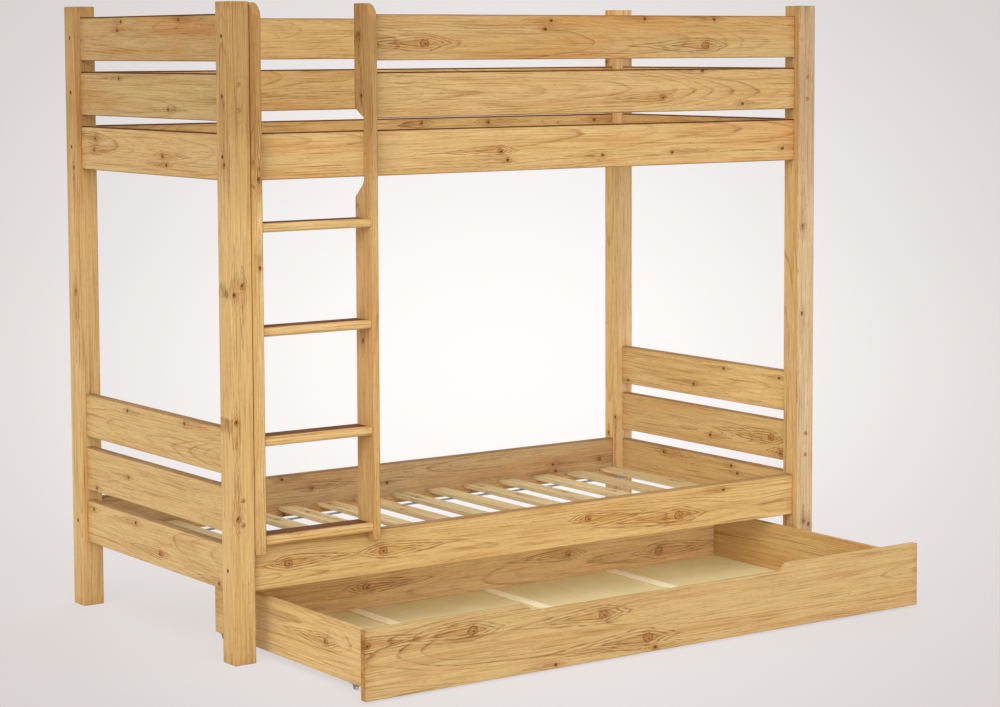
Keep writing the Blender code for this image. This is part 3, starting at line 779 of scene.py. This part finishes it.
boltPlaces, pinPlaces = [], []
for node in nodesNamed("post_"):
    low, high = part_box(node)
    bolts, pins = postFittings(low, high)
    mesh = plankMesh(node, low, high, posts["edge"])
    mesh, boltFloors = drilled(mesh, node, bolts, posts["boltHoleRadius"], posts["boltHoleDepth"])
    mesh, pinFloors = drilled(mesh, node, pins, posts["pinHoleRadius"], posts["pinHoleDepth"])
    timber(node, upZ, acrossX, mesh=mesh)
    boltPlaces += boltFloors
    pinPlaces += pinFloors
print("posts ready")

# Rails, guards, end boards and ledgers

boards = {"edge": 0.0030, "ledgerEdge": 0.0015}
for node in nodesNamed(""):
    if "end_board" in node:
        timber(node, alongY, acrossX, boards["edge"])
    elif "rail" in node or "guard" in node:
        timber(node, acrossX, alongY, boards["edge"])
    elif "ledger" in node:
        timber(node, acrossX, alongY, boards["ledgerEdge"])
print("rails, guards, end boards and ledgers ready")

# Ladder

ladder = {
    "edge": 0.0022, "corner": 0.042, "curve": 0.037, "slope": math.radians(42), "headroom": 0.035,
    "rise": 0.026, "fit": 0.0003, "nosing": 0.009, "rungEdge": 0.0008, "arcSteps": 20, "nosingSteps": 10,
}


def arc(centre, radius, start, end, steps):
    angles = [start + (end - start) * i / steps for i in range(steps + 1)]
    return [(centre[0] + radius * math.cos(a), centre[1] + radius * math.sin(a)) for a in angles]


# hooked over the lower rail, notched round the upper one and rounded at the top
def stileOutline(low, high):
    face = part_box("lower_front_rail")[0].y - ladder["fit"]
    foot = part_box("lower_front_rail")[1].z + ladder["fit"]
    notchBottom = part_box("upper_front_rail")[0].z - ladder["fit"]
    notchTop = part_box("upper_front_rail")[1].z + ladder["headroom"]
    curve, corner, steps = ladder["curve"], ladder["corner"], ladder["arcSteps"]
    curved = arc((face + curve, notchBottom), curve, 1.5 * math.pi - ladder["slope"], math.pi, steps)
    slopeFoot = curved[0][1] - (high.y - curved[0][0]) * math.tan(ladder["slope"])
    hook = [(low.y, low.z), (face, low.z), (face, foot)]
    rear = [(high.y, foot), (high.y, slopeFoot), *curved]
    head = [(face, notchTop), (high.y, notchTop + ladder["rise"]), (high.y, high.z)]
    return [*hook, *rear, *head, *arc((low.y + corner, high.z - corner), corner, math.pi / 2, math.pi, steps)]


def rungOutline(low, high):
    nosing = ladder["nosing"]
    lower = arc((low.y + nosing, low.z + nosing), nosing, 1.5 * math.pi, math.pi, ladder["nosingSteps"])
    upper = arc((low.y + nosing, high.z - nosing), nosing, math.pi, 0.5 * math.pi, ladder["nosingSteps"])
    return [(high.y, low.z), *lower, *upper, (high.y, high.z)]


for start, outlineOf, edge, run, thick in (
    ("ladder_stile", stileOutline, ladder["edge"], upZ, acrossX),
    ("ladder_rung", rungOutline, ladder["rungEdge"], acrossX, upZ),
):
    for node in nodesNamed(start):
        low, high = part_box(node)
        timber(node, run, thick, mesh=prismMesh(node, outlineOf(low, high), acrossX, low.x, high.x, edge))
print("ladder ready")

# Slatted bases

slats = {
    "count": 14, "pitch": 0.1423, "width": 0.064, "thickness": 0.012, "edge": 0.0012, "shuffle": 0.0015,
    "strapWidth": 0.022, "strapThickness": 0.0014, "strapSetback": 0.130, "strapSag": 0.0016, "strapSteps": 8,
    "stapleWidth": 0.012, "stapleWire": 0.0006, "stapleDepth": 0.001, "stapleEdge": 0.0002,
    "stapleFromMiddle": 0.012, "seed": {"lower": 113, "upper": 122},
}
# what each slat draws by chance, as (least, most) of the wood shader's attributes
slatChances = {
    "tree": ((-0.05, 0.02, 1), (0.05, 0.08, 50)), "tone": ((-0.09, 0.1, 0.7), (0.05, 1.0, 1.3)),
    "knot1": ((-0.42, -0.026, 0.003), (0.42, 0.026, 0.009)),
    "knot2": ((-0.42, -0.03, 0.002), (0.42, 0.03, 0.006)),
    "knot3": ((-0.8, -0.03, 0.002), (0.8, 0.03, 0.007)),
}


# a row of slats, each cut from another part of the tree
def slatRowTree():
    inputs = {"Slat": "Geometry", "Count": "Int", "Pitch": "Float", "Shuffle": "Float", "Seed": "Int",
              "Finish": "Material"}
    tree, given, drain = newTree("slatRow", "GeometryNodeTree", inputs, {"Slats": "Geometry"})

    def chanceVector(least, most, seed):
        return made("FunctionNodeRandomValue", {0: least, 1: most, "Seed": seed}, data_type="FLOAT_VECTOR")

    feeds = {"Count": given["Count"], "Offset": join(given["Pitch"], 0.0, 0.0)}
    line = made("GeometryNodeMeshLine", feeds, mode="OFFSET")
    placed = made("GeometryNodeInstanceOnPoints", {"Points": line, "Instance": given["Slat"]})
    feeds = {0: chanceVector((0, -1, 0), (0, 1, 0), given["Seed"]), "Scale": given["Shuffle"]}
    shift = made("ShaderNodeVectorMath", feeds, operation="SCALE")
    chain = made("GeometryNodeTranslateInstances", {"Instances": placed, "Translation": shift})
    for number, (name, (least, most)) in enumerate(slatChances.items(), 11):
        seed = made("FunctionNodeIntegerMath", {0: given["Seed"], 1: number}, operation="ADD")
        feeds = {"Geometry": chain, "Name": name, "Value": chanceVector(least, most, seed)}
        chain = made("GeometryNodeStoreNamedAttribute", feeds, data_type="FLOAT_VECTOR", domain="INSTANCE")
    finishTree(chain, given["Finish"], drain)
    return tree


# a webbing strap that is held at each slat and sags a little between them
def strapTree():
    inputs = {"Start": "Vector", "Length": "Float", "Width": "Float", "Thickness": "Float", "Pitch": "Float",
              "Sag": "Float", "Steps": "Int", "Finish": "Material"}
    tree, given, drain = newTree("strapRun", "GeometryNodeTree", inputs, {"Strap": "Geometry"})
    grid = made("GeometryNodeMeshGrid", {
        "Size X": given["Length"], "Size Y": given["Width"], "Vertices X": given["Steps"], "Vertices Y": 5})
    fromStart = split(made("GeometryNodeInputPosition", tree=tree))[0] + given["Length"] * 0.5
    wave = calc("SINE", fromStart / given["Pitch"] * math.pi)
    dip = wave * wave * (given["Sag"] * -1.0)
    hung = made("GeometryNodeSetPosition", {"Geometry": grid, "Offset": join(0.0, 0.0, dip)})
    down = join(0.0, 0.0, given["Thickness"] * -1.0)
    feeds = {"Mesh": hung, "Offset": down, "Offset Scale": 1.0, "Individual": False}
    whole = addNode("GeometryNodeJoinGeometry", {0: made("GeometryNodeExtrudeMesh", feeds)})
    feed(whole, {0: hung})
    welded = made("GeometryNodeMergeByDistance", {"Geometry": Wire(whole.outputs[0]), "Distance": 0.00001})
    moved = made("GeometryNodeSetPosition", {"Geometry": welded, "Offset": given["Start"]})
    finishTree(moved, given["Finish"], drain)
    return tree


# woven tape, with ribs along it and the cross threads between them, and painted shade in the hollows of the
# weave
def webbingMaterial():
    look = {"rib": 0.0032, "pick": 0.0024, "deep": linear(78, 90, 104), "high": linear(128, 140, 152),
            "fuzz": linear(160, 168, 174)}
    material, shader, coordinates = newMaterial("strapWebbing")
    x, y, _ = split(coordinates["Object"])
    rib, pick = (
        calc("ABSOLUTE", calc("SINE", value * (2 * math.pi / look[thread])))
        for value, thread in ((y, "rib"), (x, "pick")))
    weave = rib * (pick * 0.5 + 0.5)
    fuzz = noise(coordinates["Object"], (900, 900, 900))
    # painted shade: the deep colour where the weave sinks between the threads
    colour = blend(weave, look["deep"], look["high"])
    feed(shader, {
        "Base Color": blend(span(fuzz, 0.4, 0.7, 0.0, 0.4), colour, look["fuzz"]),
        "Normal": bump(weave, 0.7, 0.0004), "Roughness": 0.85, "Sheen Weight": 0.25})
    return material


webbing = webbingMaterial()
slatRow, strapRun = slatRowTree(), strapTree()
for level in ("lower", "upper"):
    node = f"{level}_slat_mat"
    body = bodyOf[node]
    low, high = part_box(node)
    halfSlat = Vector((slats["width"] / 2, (high.y - low.y) / 2 - slats["shuffle"], slats["thickness"] / 2))
    firstX = high.x - slats["width"] / 2 - (slats["count"] - 1) * slats["pitch"]
    slat = plankMesh(node + "One", -halfSlat, halfSlat, slats["edge"], 2)
    fill(slat, "grain", [Vector((p.co.y, p.co.x, p.co.z)) for p in slat.vertices])
    fill(slat, "halfSize", Vector((halfSlat.y, halfSlat.x, halfSlat.z)))
    for number in range(4, knotCount + 1):
        fill(slat, f"knot{number}", farKnot)
    slat.transform(Matrix.Translation((firstX, (low.y + high.y) / 2, high.z - slats["thickness"] / 2)))
    values = {"Count": slats["count"], "Pitch": slats["pitch"], "Shuffle": slats["shuffle"],
              "Seed": slats["seed"][level], "Finish": sawnPine}
    mesh = madeBy(slatRow, slat, values, f"{level}_slats")
    newPiece(f"{level}_slats", mesh, sawnPine, body, "slat_pine", node)

    underside = high.z - slats["thickness"]
    length = (slats["count"] - 1) * slats["pitch"] + slats["width"]
    inward = slats["strapSetback"] + slats["strapWidth"] / 2
    staplePlaces = []
    for side, y in (("front", low.y + inward), ("rear", high.y - inward)):
        name = f"{level}_{side}_strap"
        values = {
            "Start": (high.x - length / 2, y, underside), "Length": length, "Width": slats["strapWidth"],
            "Thickness": slats["strapThickness"], "Pitch": slats["pitch"], "Sag": slats["strapSag"],
            "Steps": slats["count"] * slats["strapSteps"] + 1, "Finish": webbing}
        mesh = madeBy(strapRun, bpy.data.meshes.new("strapStart"), values, name)
        newPiece(name, mesh, webbing, body, "slat_pine")
        for i in range(slats["count"]):
            for dx in (-slats["stapleFromMiddle"], slats["stapleFromMiddle"]):
                point = Vector((firstX + i * slats["pitch"] + dx, y, underside - slats["strapThickness"]))
                staplePlaces.append((point, Vector((0, 0, -1))))
    wire, halfStaple = slats["stapleWire"], slats["stapleWidth"] / 2
    stapleLow = Vector((-wire, -halfStaple, -slats["stapleDepth"]))
    staple = plankMesh("staple", stapleLow, Vector((wire, halfStaple, wire)), slats["stapleEdge"], 1)
    mesh = headsMesh(f"{level}_staples", staple, staplePlaces, zinc)
    newPiece(f"{level}_staples", mesh, zinc, body, "steel")
print("slatted bases ready")

# Drawer

drawer = {
    "gripDepth": 0.0215, "gripFloorWidth": 0.890, "gripFlare": 0.017, "gripRound": 0.010, "frontEdge": 0.0025,
    "boxEdge": 0.0012, "rebate": 0.008, "panelTop": 0.024, "panelEdge": 0.0006, "fit": 0.0003,
    "battenEdge": 0.0012, "nailsPerBatten": 6, "nailFromEnd": 0.04, "nailAside": 0.010,
}


# rounds one corner of an outline
def softCorner(before, corner, after, radius, steps=6):
    before, corner, after = Vector(before), Vector(corner), Vector(after)
    first = corner + (before - corner).normalized() * radius
    last = corner + (after - corner).normalized() * radius
    shares = [i / steps for i in range(steps + 1)]
    return [tuple((1 - t) ** 2 * first + 2 * t * (1 - t) * corner + t * t * last) for t in shares]


# a plain board with a finger grip cut down into its top edge
def frontOutline(low, high):
    floorHalf = drawer["gripFloorWidth"] / 2
    mouthHalf = floorHalf + drawer["gripFlare"]
    floorZ = high.z - drawer["gripDepth"]
    grip = [(mouthHalf, high.z), (floorHalf, floorZ), (-floorHalf, floorZ), (-mouthHalf, high.z)]
    before = [(high.x, high.z), *grip]
    after = [*grip[1:], (low.x, high.z)]
    soft = [point for trio in zip(before, grip, after) for point in softCorner(*trio, drawer["gripRound"])]
    return [(low.x, low.z), (high.x, low.z), (high.x, high.z), *soft, (low.x, high.z)]


# the end view of a box board, rebated underneath for the bottom panels
def rebatedOutline(outer, inner, low, high):
    rebate = inner + math.copysign(drawer["rebate"], outer - inner)
    seat = drawer["panelTop"] + drawer["fit"]
    return [(outer, low.z), (outer, high.z), (inner, high.z), (inner, seat), (rebate, seat), (rebate, low.z)]


low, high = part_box("drawer_front")
mesh = prismMesh("drawer_front", frontOutline(low, high), alongY, low.y, high.y, drawer["frontEdge"])
timber("drawer_front", acrossX, alongY, mesh=mesh)
for node, outer, inner, axis, side in (
    ("drawer_side_left", 0, 1, alongY, acrossX), ("drawer_side_right", 1, 0, alongY, acrossX),
    ("drawer_back", 1, 0, acrossX, alongY),
):
    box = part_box(node)
    outline = rebatedOutline(box[outer][side], box[inner][side], *box)
    mesh = prismMesh(node, outline, axis, box[0][axis], box[1][axis], drawer["boxEdge"])
    timber(node, axis, side, mesh=mesh)


# pressed wood fibre, smooth on its face, with flecks and a faint mottle
def hardboardMaterial():
    look = {"pale": linear(235, 221, 169), "deep": linear(227, 212, 158), "fibre": linear(200, 184, 136),
            "fleck": linear(186, 164, 120)}
    material, shader, coordinates = newMaterial("hardboardFace")
    place = coordinates["Object"]
    mottle = noise(place, (16, 16, 16), 4.0, 0.6)
    fibre = noise(place, (420, 420, 420), 3.0, 0.65)
    fleck = noise(place, (900, 300, 900), 1.0)
    colour = blend(span(mottle, 0.35, 0.68), look["pale"], look["deep"])
    colour = blend(span(fibre, 0.4, 0.75, 0.0, 0.3), colour, look["fibre"])
    feed(shader, {
        "Base Color": blend(span(fleck, 0.68, 0.76, 0.0, 0.35), colour, look["fleck"]),
        "Roughness": span(mottle, 0.3, 0.7, 0.52, 0.66), "Normal": bump(fibre, 0.25, 0.0003)})
    return material


hardboard = hardboardMaterial()
for node in nodesNamed("drawer_panel"):
    mesh = plankMesh(node, *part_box(node), drawer["panelEdge"], 2)
    newPiece("sheet_" + node, mesh, hardboard, "drawer", "hardboard", node)
nailPlaces = []
for node in nodesNamed("drawer_batten"):
    timber(node, alongY, upZ, drawer["battenEdge"], material=palePine, slot="batten_pine")
    low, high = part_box(node)
    nailed = high.y - low.y - 2 * drawer["nailFromEnd"]
    for i in range(drawer["nailsPerBatten"]):
        x = (low.x + high.x) / 2 + (drawer["nailAside"] if i % 2 else -drawer["nailAside"])
        y = low.y + drawer["nailFromEnd"] + nailed * i / (drawer["nailsPerBatten"] - 1)
        nailPlaces.append((Vector((x, y, high.z)), Vector((0, 0, 1))))
print("drawer ready")

# Castors

castor = {
    "wheelRadius": 0.0075, "wheelHalf": 0.004, "bore": 0.0023, "wheelSteps": 40, "cheek": 0.0012,
    "cheekEdge": 0.0003, "boss": 0.0045, "plateLong": 0.032, "plateHalf": 0.0085, "plate": 0.0013,
    "plateEdge": 0.0004, "axle": 0.0020, "play": 0.0005, "rivet": 0.0030, "rivetRim": 0.0003,
    "rivetHead": 0.0009, "rivetCrown": 0.55, "screwFromMiddle": 0.0132,
    "hub": [(0, 0), (0.0011, 0), (0.0013, 0.0002), (0.0015, 0.0010)],
    "tread": [
        (0.0019, 0.0010), (0.0016, 0.0002), (0.0013, 0), (0.0007, 0.0002), (0.0002, 0.0007), (0, 0.0014)],
}


# a pressed plate with two cheeks, and an axle riveted over outside them
def bracketMesh(name, centre, topZ):
    plateHigh = Vector((castor["plateHalf"], castor["plateLong"] / 2, topZ))
    plateLow = Vector((-castor["plateHalf"], -castor["plateLong"] / 2, topZ - castor["plate"]))
    inner = castor["wheelHalf"] + castor["play"]
    reach = inner + castor["cheek"]
    top, end = topZ - castor["plate"] / 2, castor["plateLong"] / 3
    outline = [(end, top), (-end, top), *arc((0, 0), castor["boss"], math.pi, 2 * math.pi, 16)]
    half = [(castor["axle"], reach), (castor["rivet"], reach), (castor["rivet"], reach + castor["rivetRim"]),
            (castor["rivet"] * castor["rivetCrown"], reach + castor["rivetHead"])]
    axle = headMesh("axle", [(radius, -height) for radius, height in reversed(half)] + half)
    axle.transform(Matrix.Rotation(math.radians(90), 4, "Y"))
    cheeks = [
        prismMesh("cheek", outline, acrossX, *sides, castor["cheekEdge"], 2)
        for sides in ((-reach, -inner), (inner, reach))]
    shape = bmesh.new()
    for part in (plankMesh("plate", plateLow, plateHigh, castor["plateEdge"], 2), *cheeks, axle):
        shape.from_mesh(part)
        bpy.data.meshes.remove(part)
    mesh = bpy.data.meshes.new(name)
    shape.to_mesh(mesh)
    shape.free()
    mesh.transform(Matrix.Translation(centre))
    smoothed(mesh, 40)
    return mesh


# a moulded wheel: hub, dished web and rounded tread, each from its own edge and from the side of the wheel
def wheelMesh(name, centre):
    shape = bmesh.new()
    half, steps = castor["wheelHalf"], castor["wheelSteps"]
    side = [(castor["bore"] + out, half - dip) for out, dip in castor["hub"]]
    side += [(castor["wheelRadius"] - back, half - dip) for back, dip in castor["tread"]]
    ring = side + [(r, -h) for r, h in reversed(side)]
    rows = []
    for i in range(steps):
        angle = 2 * math.pi * i / steps
        rows.append([shape.verts.new((h, r * math.cos(angle), r * math.sin(angle))) for r, h in ring])
    for i in range(steps):
        for j in range(len(ring)):
            k, m = (j + 1) % len(ring), (i + 1) % steps
            shape.faces.new((rows[i][j], rows[i][k], rows[m][k], rows[m][j]))
    mesh = meshOf(shape, name)
    mesh.transform(Matrix.Translation(centre))
    smoothed(mesh, 40)
    return mesh


# off-white moulded nylon, a little scuffed and grubby in patches
def nylonMaterial():
    look = {"clean": linear(226, 224, 216), "grubby": linear(196, 192, 180), "scuff": linear(150, 142, 128)}
    material, shader, coordinates = newMaterial("mouldedNylon")
    cloud = noise(coordinates["Object"], (260, 260, 260), 3.0, 0.6)
    scuff = noise(coordinates["Object"], (1800, 500, 500))
    colour = blend(span(cloud, 0.4, 0.75), look["clean"], look["grubby"])
    feed(shader, {
        "Base Color": blend(span(scuff, 0.62, 0.75, 0.0, 0.5), colour, look["scuff"]),
        "Roughness": span(scuff, 0.3, 0.7, 0.35, 0.55), "Normal": bump(scuff, 0.2, 0.0001)})
    return material


nylon = nylonMaterial()
plateScrewPlaces = []
for wheelNode in nodesNamed("castor_wheel"):
    bracketNode = wheelNode.replace("wheel", "bracket")
    low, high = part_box(wheelNode)
    centre = (low + high) / 2
    newPiece("nylon_" + wheelNode, wheelMesh(wheelNode, centre), nylon, bodyOf[wheelNode], "nylon", wheelNode)
    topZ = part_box(bracketNode)[1].z - centre.z
    mesh = bracketMesh(bracketNode, centre, topZ)
    newPiece("steel_" + bracketNode, mesh, zinc, "drawer", "steel", bracketNode)
    for dy in (-castor["screwFromMiddle"], castor["screwFromMiddle"]):
        point = Vector((centre.x, centre.y + dy, centre.z + topZ - castor["plate"]))
        plateScrewPlaces.append((point, Vector((0, 0, -1))))
print("castors ready")

# Fittings

# each head from its rim to its crown, and down into its drive
boltHead = headMesh(
    "boltHead", [(0.0060, -0.0002), (0.0060, 0.0010), (0.0047, 0.0015)],
    "hex", [(0.0030, 0.0015), (0.0028, 0.0003)])
pinHead = headMesh(
    "pinHead", [(0.0053, -0.0002), (0.0053, 0.0008), (0.0028, 0.0012)],
    "hex", [(0.0017, 0.0012), (0.0016, 0.0003)])
screwHead = headMesh(
    "screwHead", [(0.0040, -0.0002), (0.0040, 0.0002), (0.0034, 0.0008), (0.0022, 0.0010)],
    "cross", [(0.0020, 0.0010), (0.0016, 0.0003)])
nailHead = headMesh("nailHead", [(0.0018, -0.0002), (0.0018, 0.0002), (0.0011, 0.0004)], sides=12)

screws = {
    "ledgerPitch": 0.245, "stileHeights": (1.720, 1.550, 1.386), "guardHeights": (1.720, 1.550),
    "inGuard": 0.0125, "inRail": 0.030,
}
ledgerScrewPlaces = []
for node in [n for n in nodesNamed("") if n.endswith("ledger")]:
    low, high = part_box(node)
    way = 1 if "front" in node else -1
    count = int((high.x - low.x) / screws["ledgerPitch"])
    for i in range(count):
        x = low.x + (high.x - low.x) * (i + 0.5) / count
        point = Vector((x, high.y if way > 0 else low.y, (low.z + high.z) / 2))
        ledgerScrewPlaces.append((point, Vector((0, way, 0))))
stileScrewPlaces = []
for node, corner, way in (("ladder_stile_left", 1, 1), ("ladder_stile_right", 0, -1)):
    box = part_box(node)
    for z in screws["stileHeights"]:
        guarded = z in screws["guardHeights"]
        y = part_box("front_guard_1")[0].y + screws["inGuard"] if guarded else box[0].y + screws["inRail"]
        stileScrewPlaces.append((Vector((box[corner].x, y, z)), Vector((way, 0, 0))))

for name, head, places, finish, body in (
    ("post_bolts", boltHead, boltPlaces, bronze, "bed_frame"),
    ("post_pins", pinHead, pinPlaces, brownSteel, "bed_frame"),
    ("ledger_screws", screwHead, ledgerScrewPlaces, zinc, "bed_frame"),
    ("stile_screws", nailHead, stileScrewPlaces, brownSteel, "bed_frame"),
    ("castor_screws", nailHead, plateScrewPlaces, zinc, "drawer"),
    ("batten_nails", nailHead, nailPlaces, zinc, "drawer"),
):
    newPiece(name, headsMesh(name, head, places, finish), finish, body, "steel")
print("fittings ready")

# Floor, light and camera

# A painted pool of light behind the bed, on floor and backdrop, that widens away from its source point in
# front.
stage = {
    "edge": linear(207, 201, 200), "pool": linear(255, 252, 251), "paintedPoolSource": (-4.37, -6.22, 1.68),
    "ahead": (0.574, 0.819, 0.0), "aside": (0.819, -0.574, 0.0), "poolWidth": 4.5, "poolDepth": 5.6,
    "poolDrop": -0.120, "poolFade": -1.26, "shadow": 0.22, "shadowReach": 2.5, "fade": 14.0, "size": 120,
}


# the painted pool's colour where a ray away from its source point meets the floor or the backdrop
def poolColour(away):
    forward = calc("MAXIMUM", vectorMath("DOT_PRODUCT", away, stage["ahead"], output="Value"), 0.001)
    side = vectorMath("DOT_PRODUCT", away, stage["aside"], output="Value")
    wide = side / forward * stage["poolWidth"]
    tall = (split(away)[2] / forward - stage["poolDrop"]) * stage["poolDepth"]
    share = calc("EXPONENT", (wide * wide + tall * tall) * stage["poolFade"])
    return blend(share, stage["edge"], stage["pool"])


# rays that see the backdrop's own colour: the camera's, and those that gloss and glass send on
def seenRays(tree):
    rays = outputsOf(addNode("ShaderNodeLightPath", tree=tree))
    seen = calc("MAXIMUM", rays["Is Glossy Ray"], rays["Is Transmission Ray"])
    return calc("MAXIMUM", rays["Is Camera Ray"], seen)


# Pale studio floor, glowing with the painted pool of light. The camera sees mostly this own colour, so it
# runs into the backdrop, and a share of real light near the bed for the shadow.
def stageMaterial():
    material, shader, coordinates = newMaterial("studioFloor")
    place = coordinates["Object"]
    colour = poolColour(vectorMath("SUBTRACT", place, stage["paintedPoolSource"]))
    feed(shader, {"Base Color": colour, "Roughness": 0.9, "Specular IOR Level": 0.1})
    glow = made("ShaderNodeEmission", {"Color": colour, "Strength": 1.0})
    own = span(lengthOf(place), stage["shadowReach"], stage["fade"], 1.0 - stage["shadow"], 1.0)
    feeds = {0: seenRays(material.node_tree) * own, 1: Wire(shader.outputs[0]), 2: glow}
    feed(material.node_tree.nodes["Material Output"], {"Surface": made("ShaderNodeMixShader", feeds)})
    return material


bpy.ops.mesh.primitive_plane_add(size=stage["size"])
floor = bpy.context.object
floor.name = "studio_floor"
floor.data.materials.append(stageMaterial())
floor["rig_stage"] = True

lamps = {
    "front": {"strength": 1.20, "soft": 50, "from": (-0.80, -0.55, 0.22)},
    "high": {"strength": 1.24, "soft": 60, "from": (-0.35, -0.60, 0.72)},
    "rear": {"strength": 1.1, "soft": 60, "from": (0.70, 0.66, 0.28)},
}
sky = {"strength": 0.66, "colour": (1.0, 0.98, 0.96, 1)}
world = bpy.context.scene.world or bpy.data.worlds.new("studio")
bpy.context.scene.world = world
world.use_nodes = True
tree = world.node_tree
seen = seenRays(tree)
backdrop = poolColour(made("ShaderNodeTexCoord", output="Generated", tree=tree))
feed(tree.nodes["Background"], {
    "Color": blend(seen, sky["colour"], backdrop), "Strength": span(seen, 0.0, 1.0, sky["strength"], 1.0)})
for name, lamp in lamps.items():
    data = bpy.data.lights.new(name + "Lamp", "SUN")
    data.energy = lamp["strength"]
    data.angle = math.radians(lamp["soft"])
    newObject(name + "Lamp", data).rotation_euler = Vector(lamp["from"]).to_track_quat("Z", "Y").to_euler()

view = {
    "place": (-4.3692, -6.2227, 1.6793), "yaw": 0.6116, "pitch": -0.0809, "roll": -0.0041, "lens": 91.57,
    "shift": -0.10, "farthest": 200,
}
data = bpy.data.cameras.new("photoCamera")
data.lens = view["lens"]
data.sensor_width = 36
data.shift_y = view["shift"]
data.clip_end = view["farthest"]
camera = newObject("photoCamera", data)
aim = Matrix.Rotation(-view["yaw"], 4, "Z") @ Matrix.Rotation(math.pi / 2 + view["pitch"], 4, "X")
camera.matrix_world = Matrix.Translation(view["place"]) @ aim @ Matrix.Rotation(view["roll"], 4, "Z")
bpy.context.scene.camera = camera
bpy.context.scene.view_settings.view_transform = "Standard"
print("stage ready")

low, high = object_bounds()
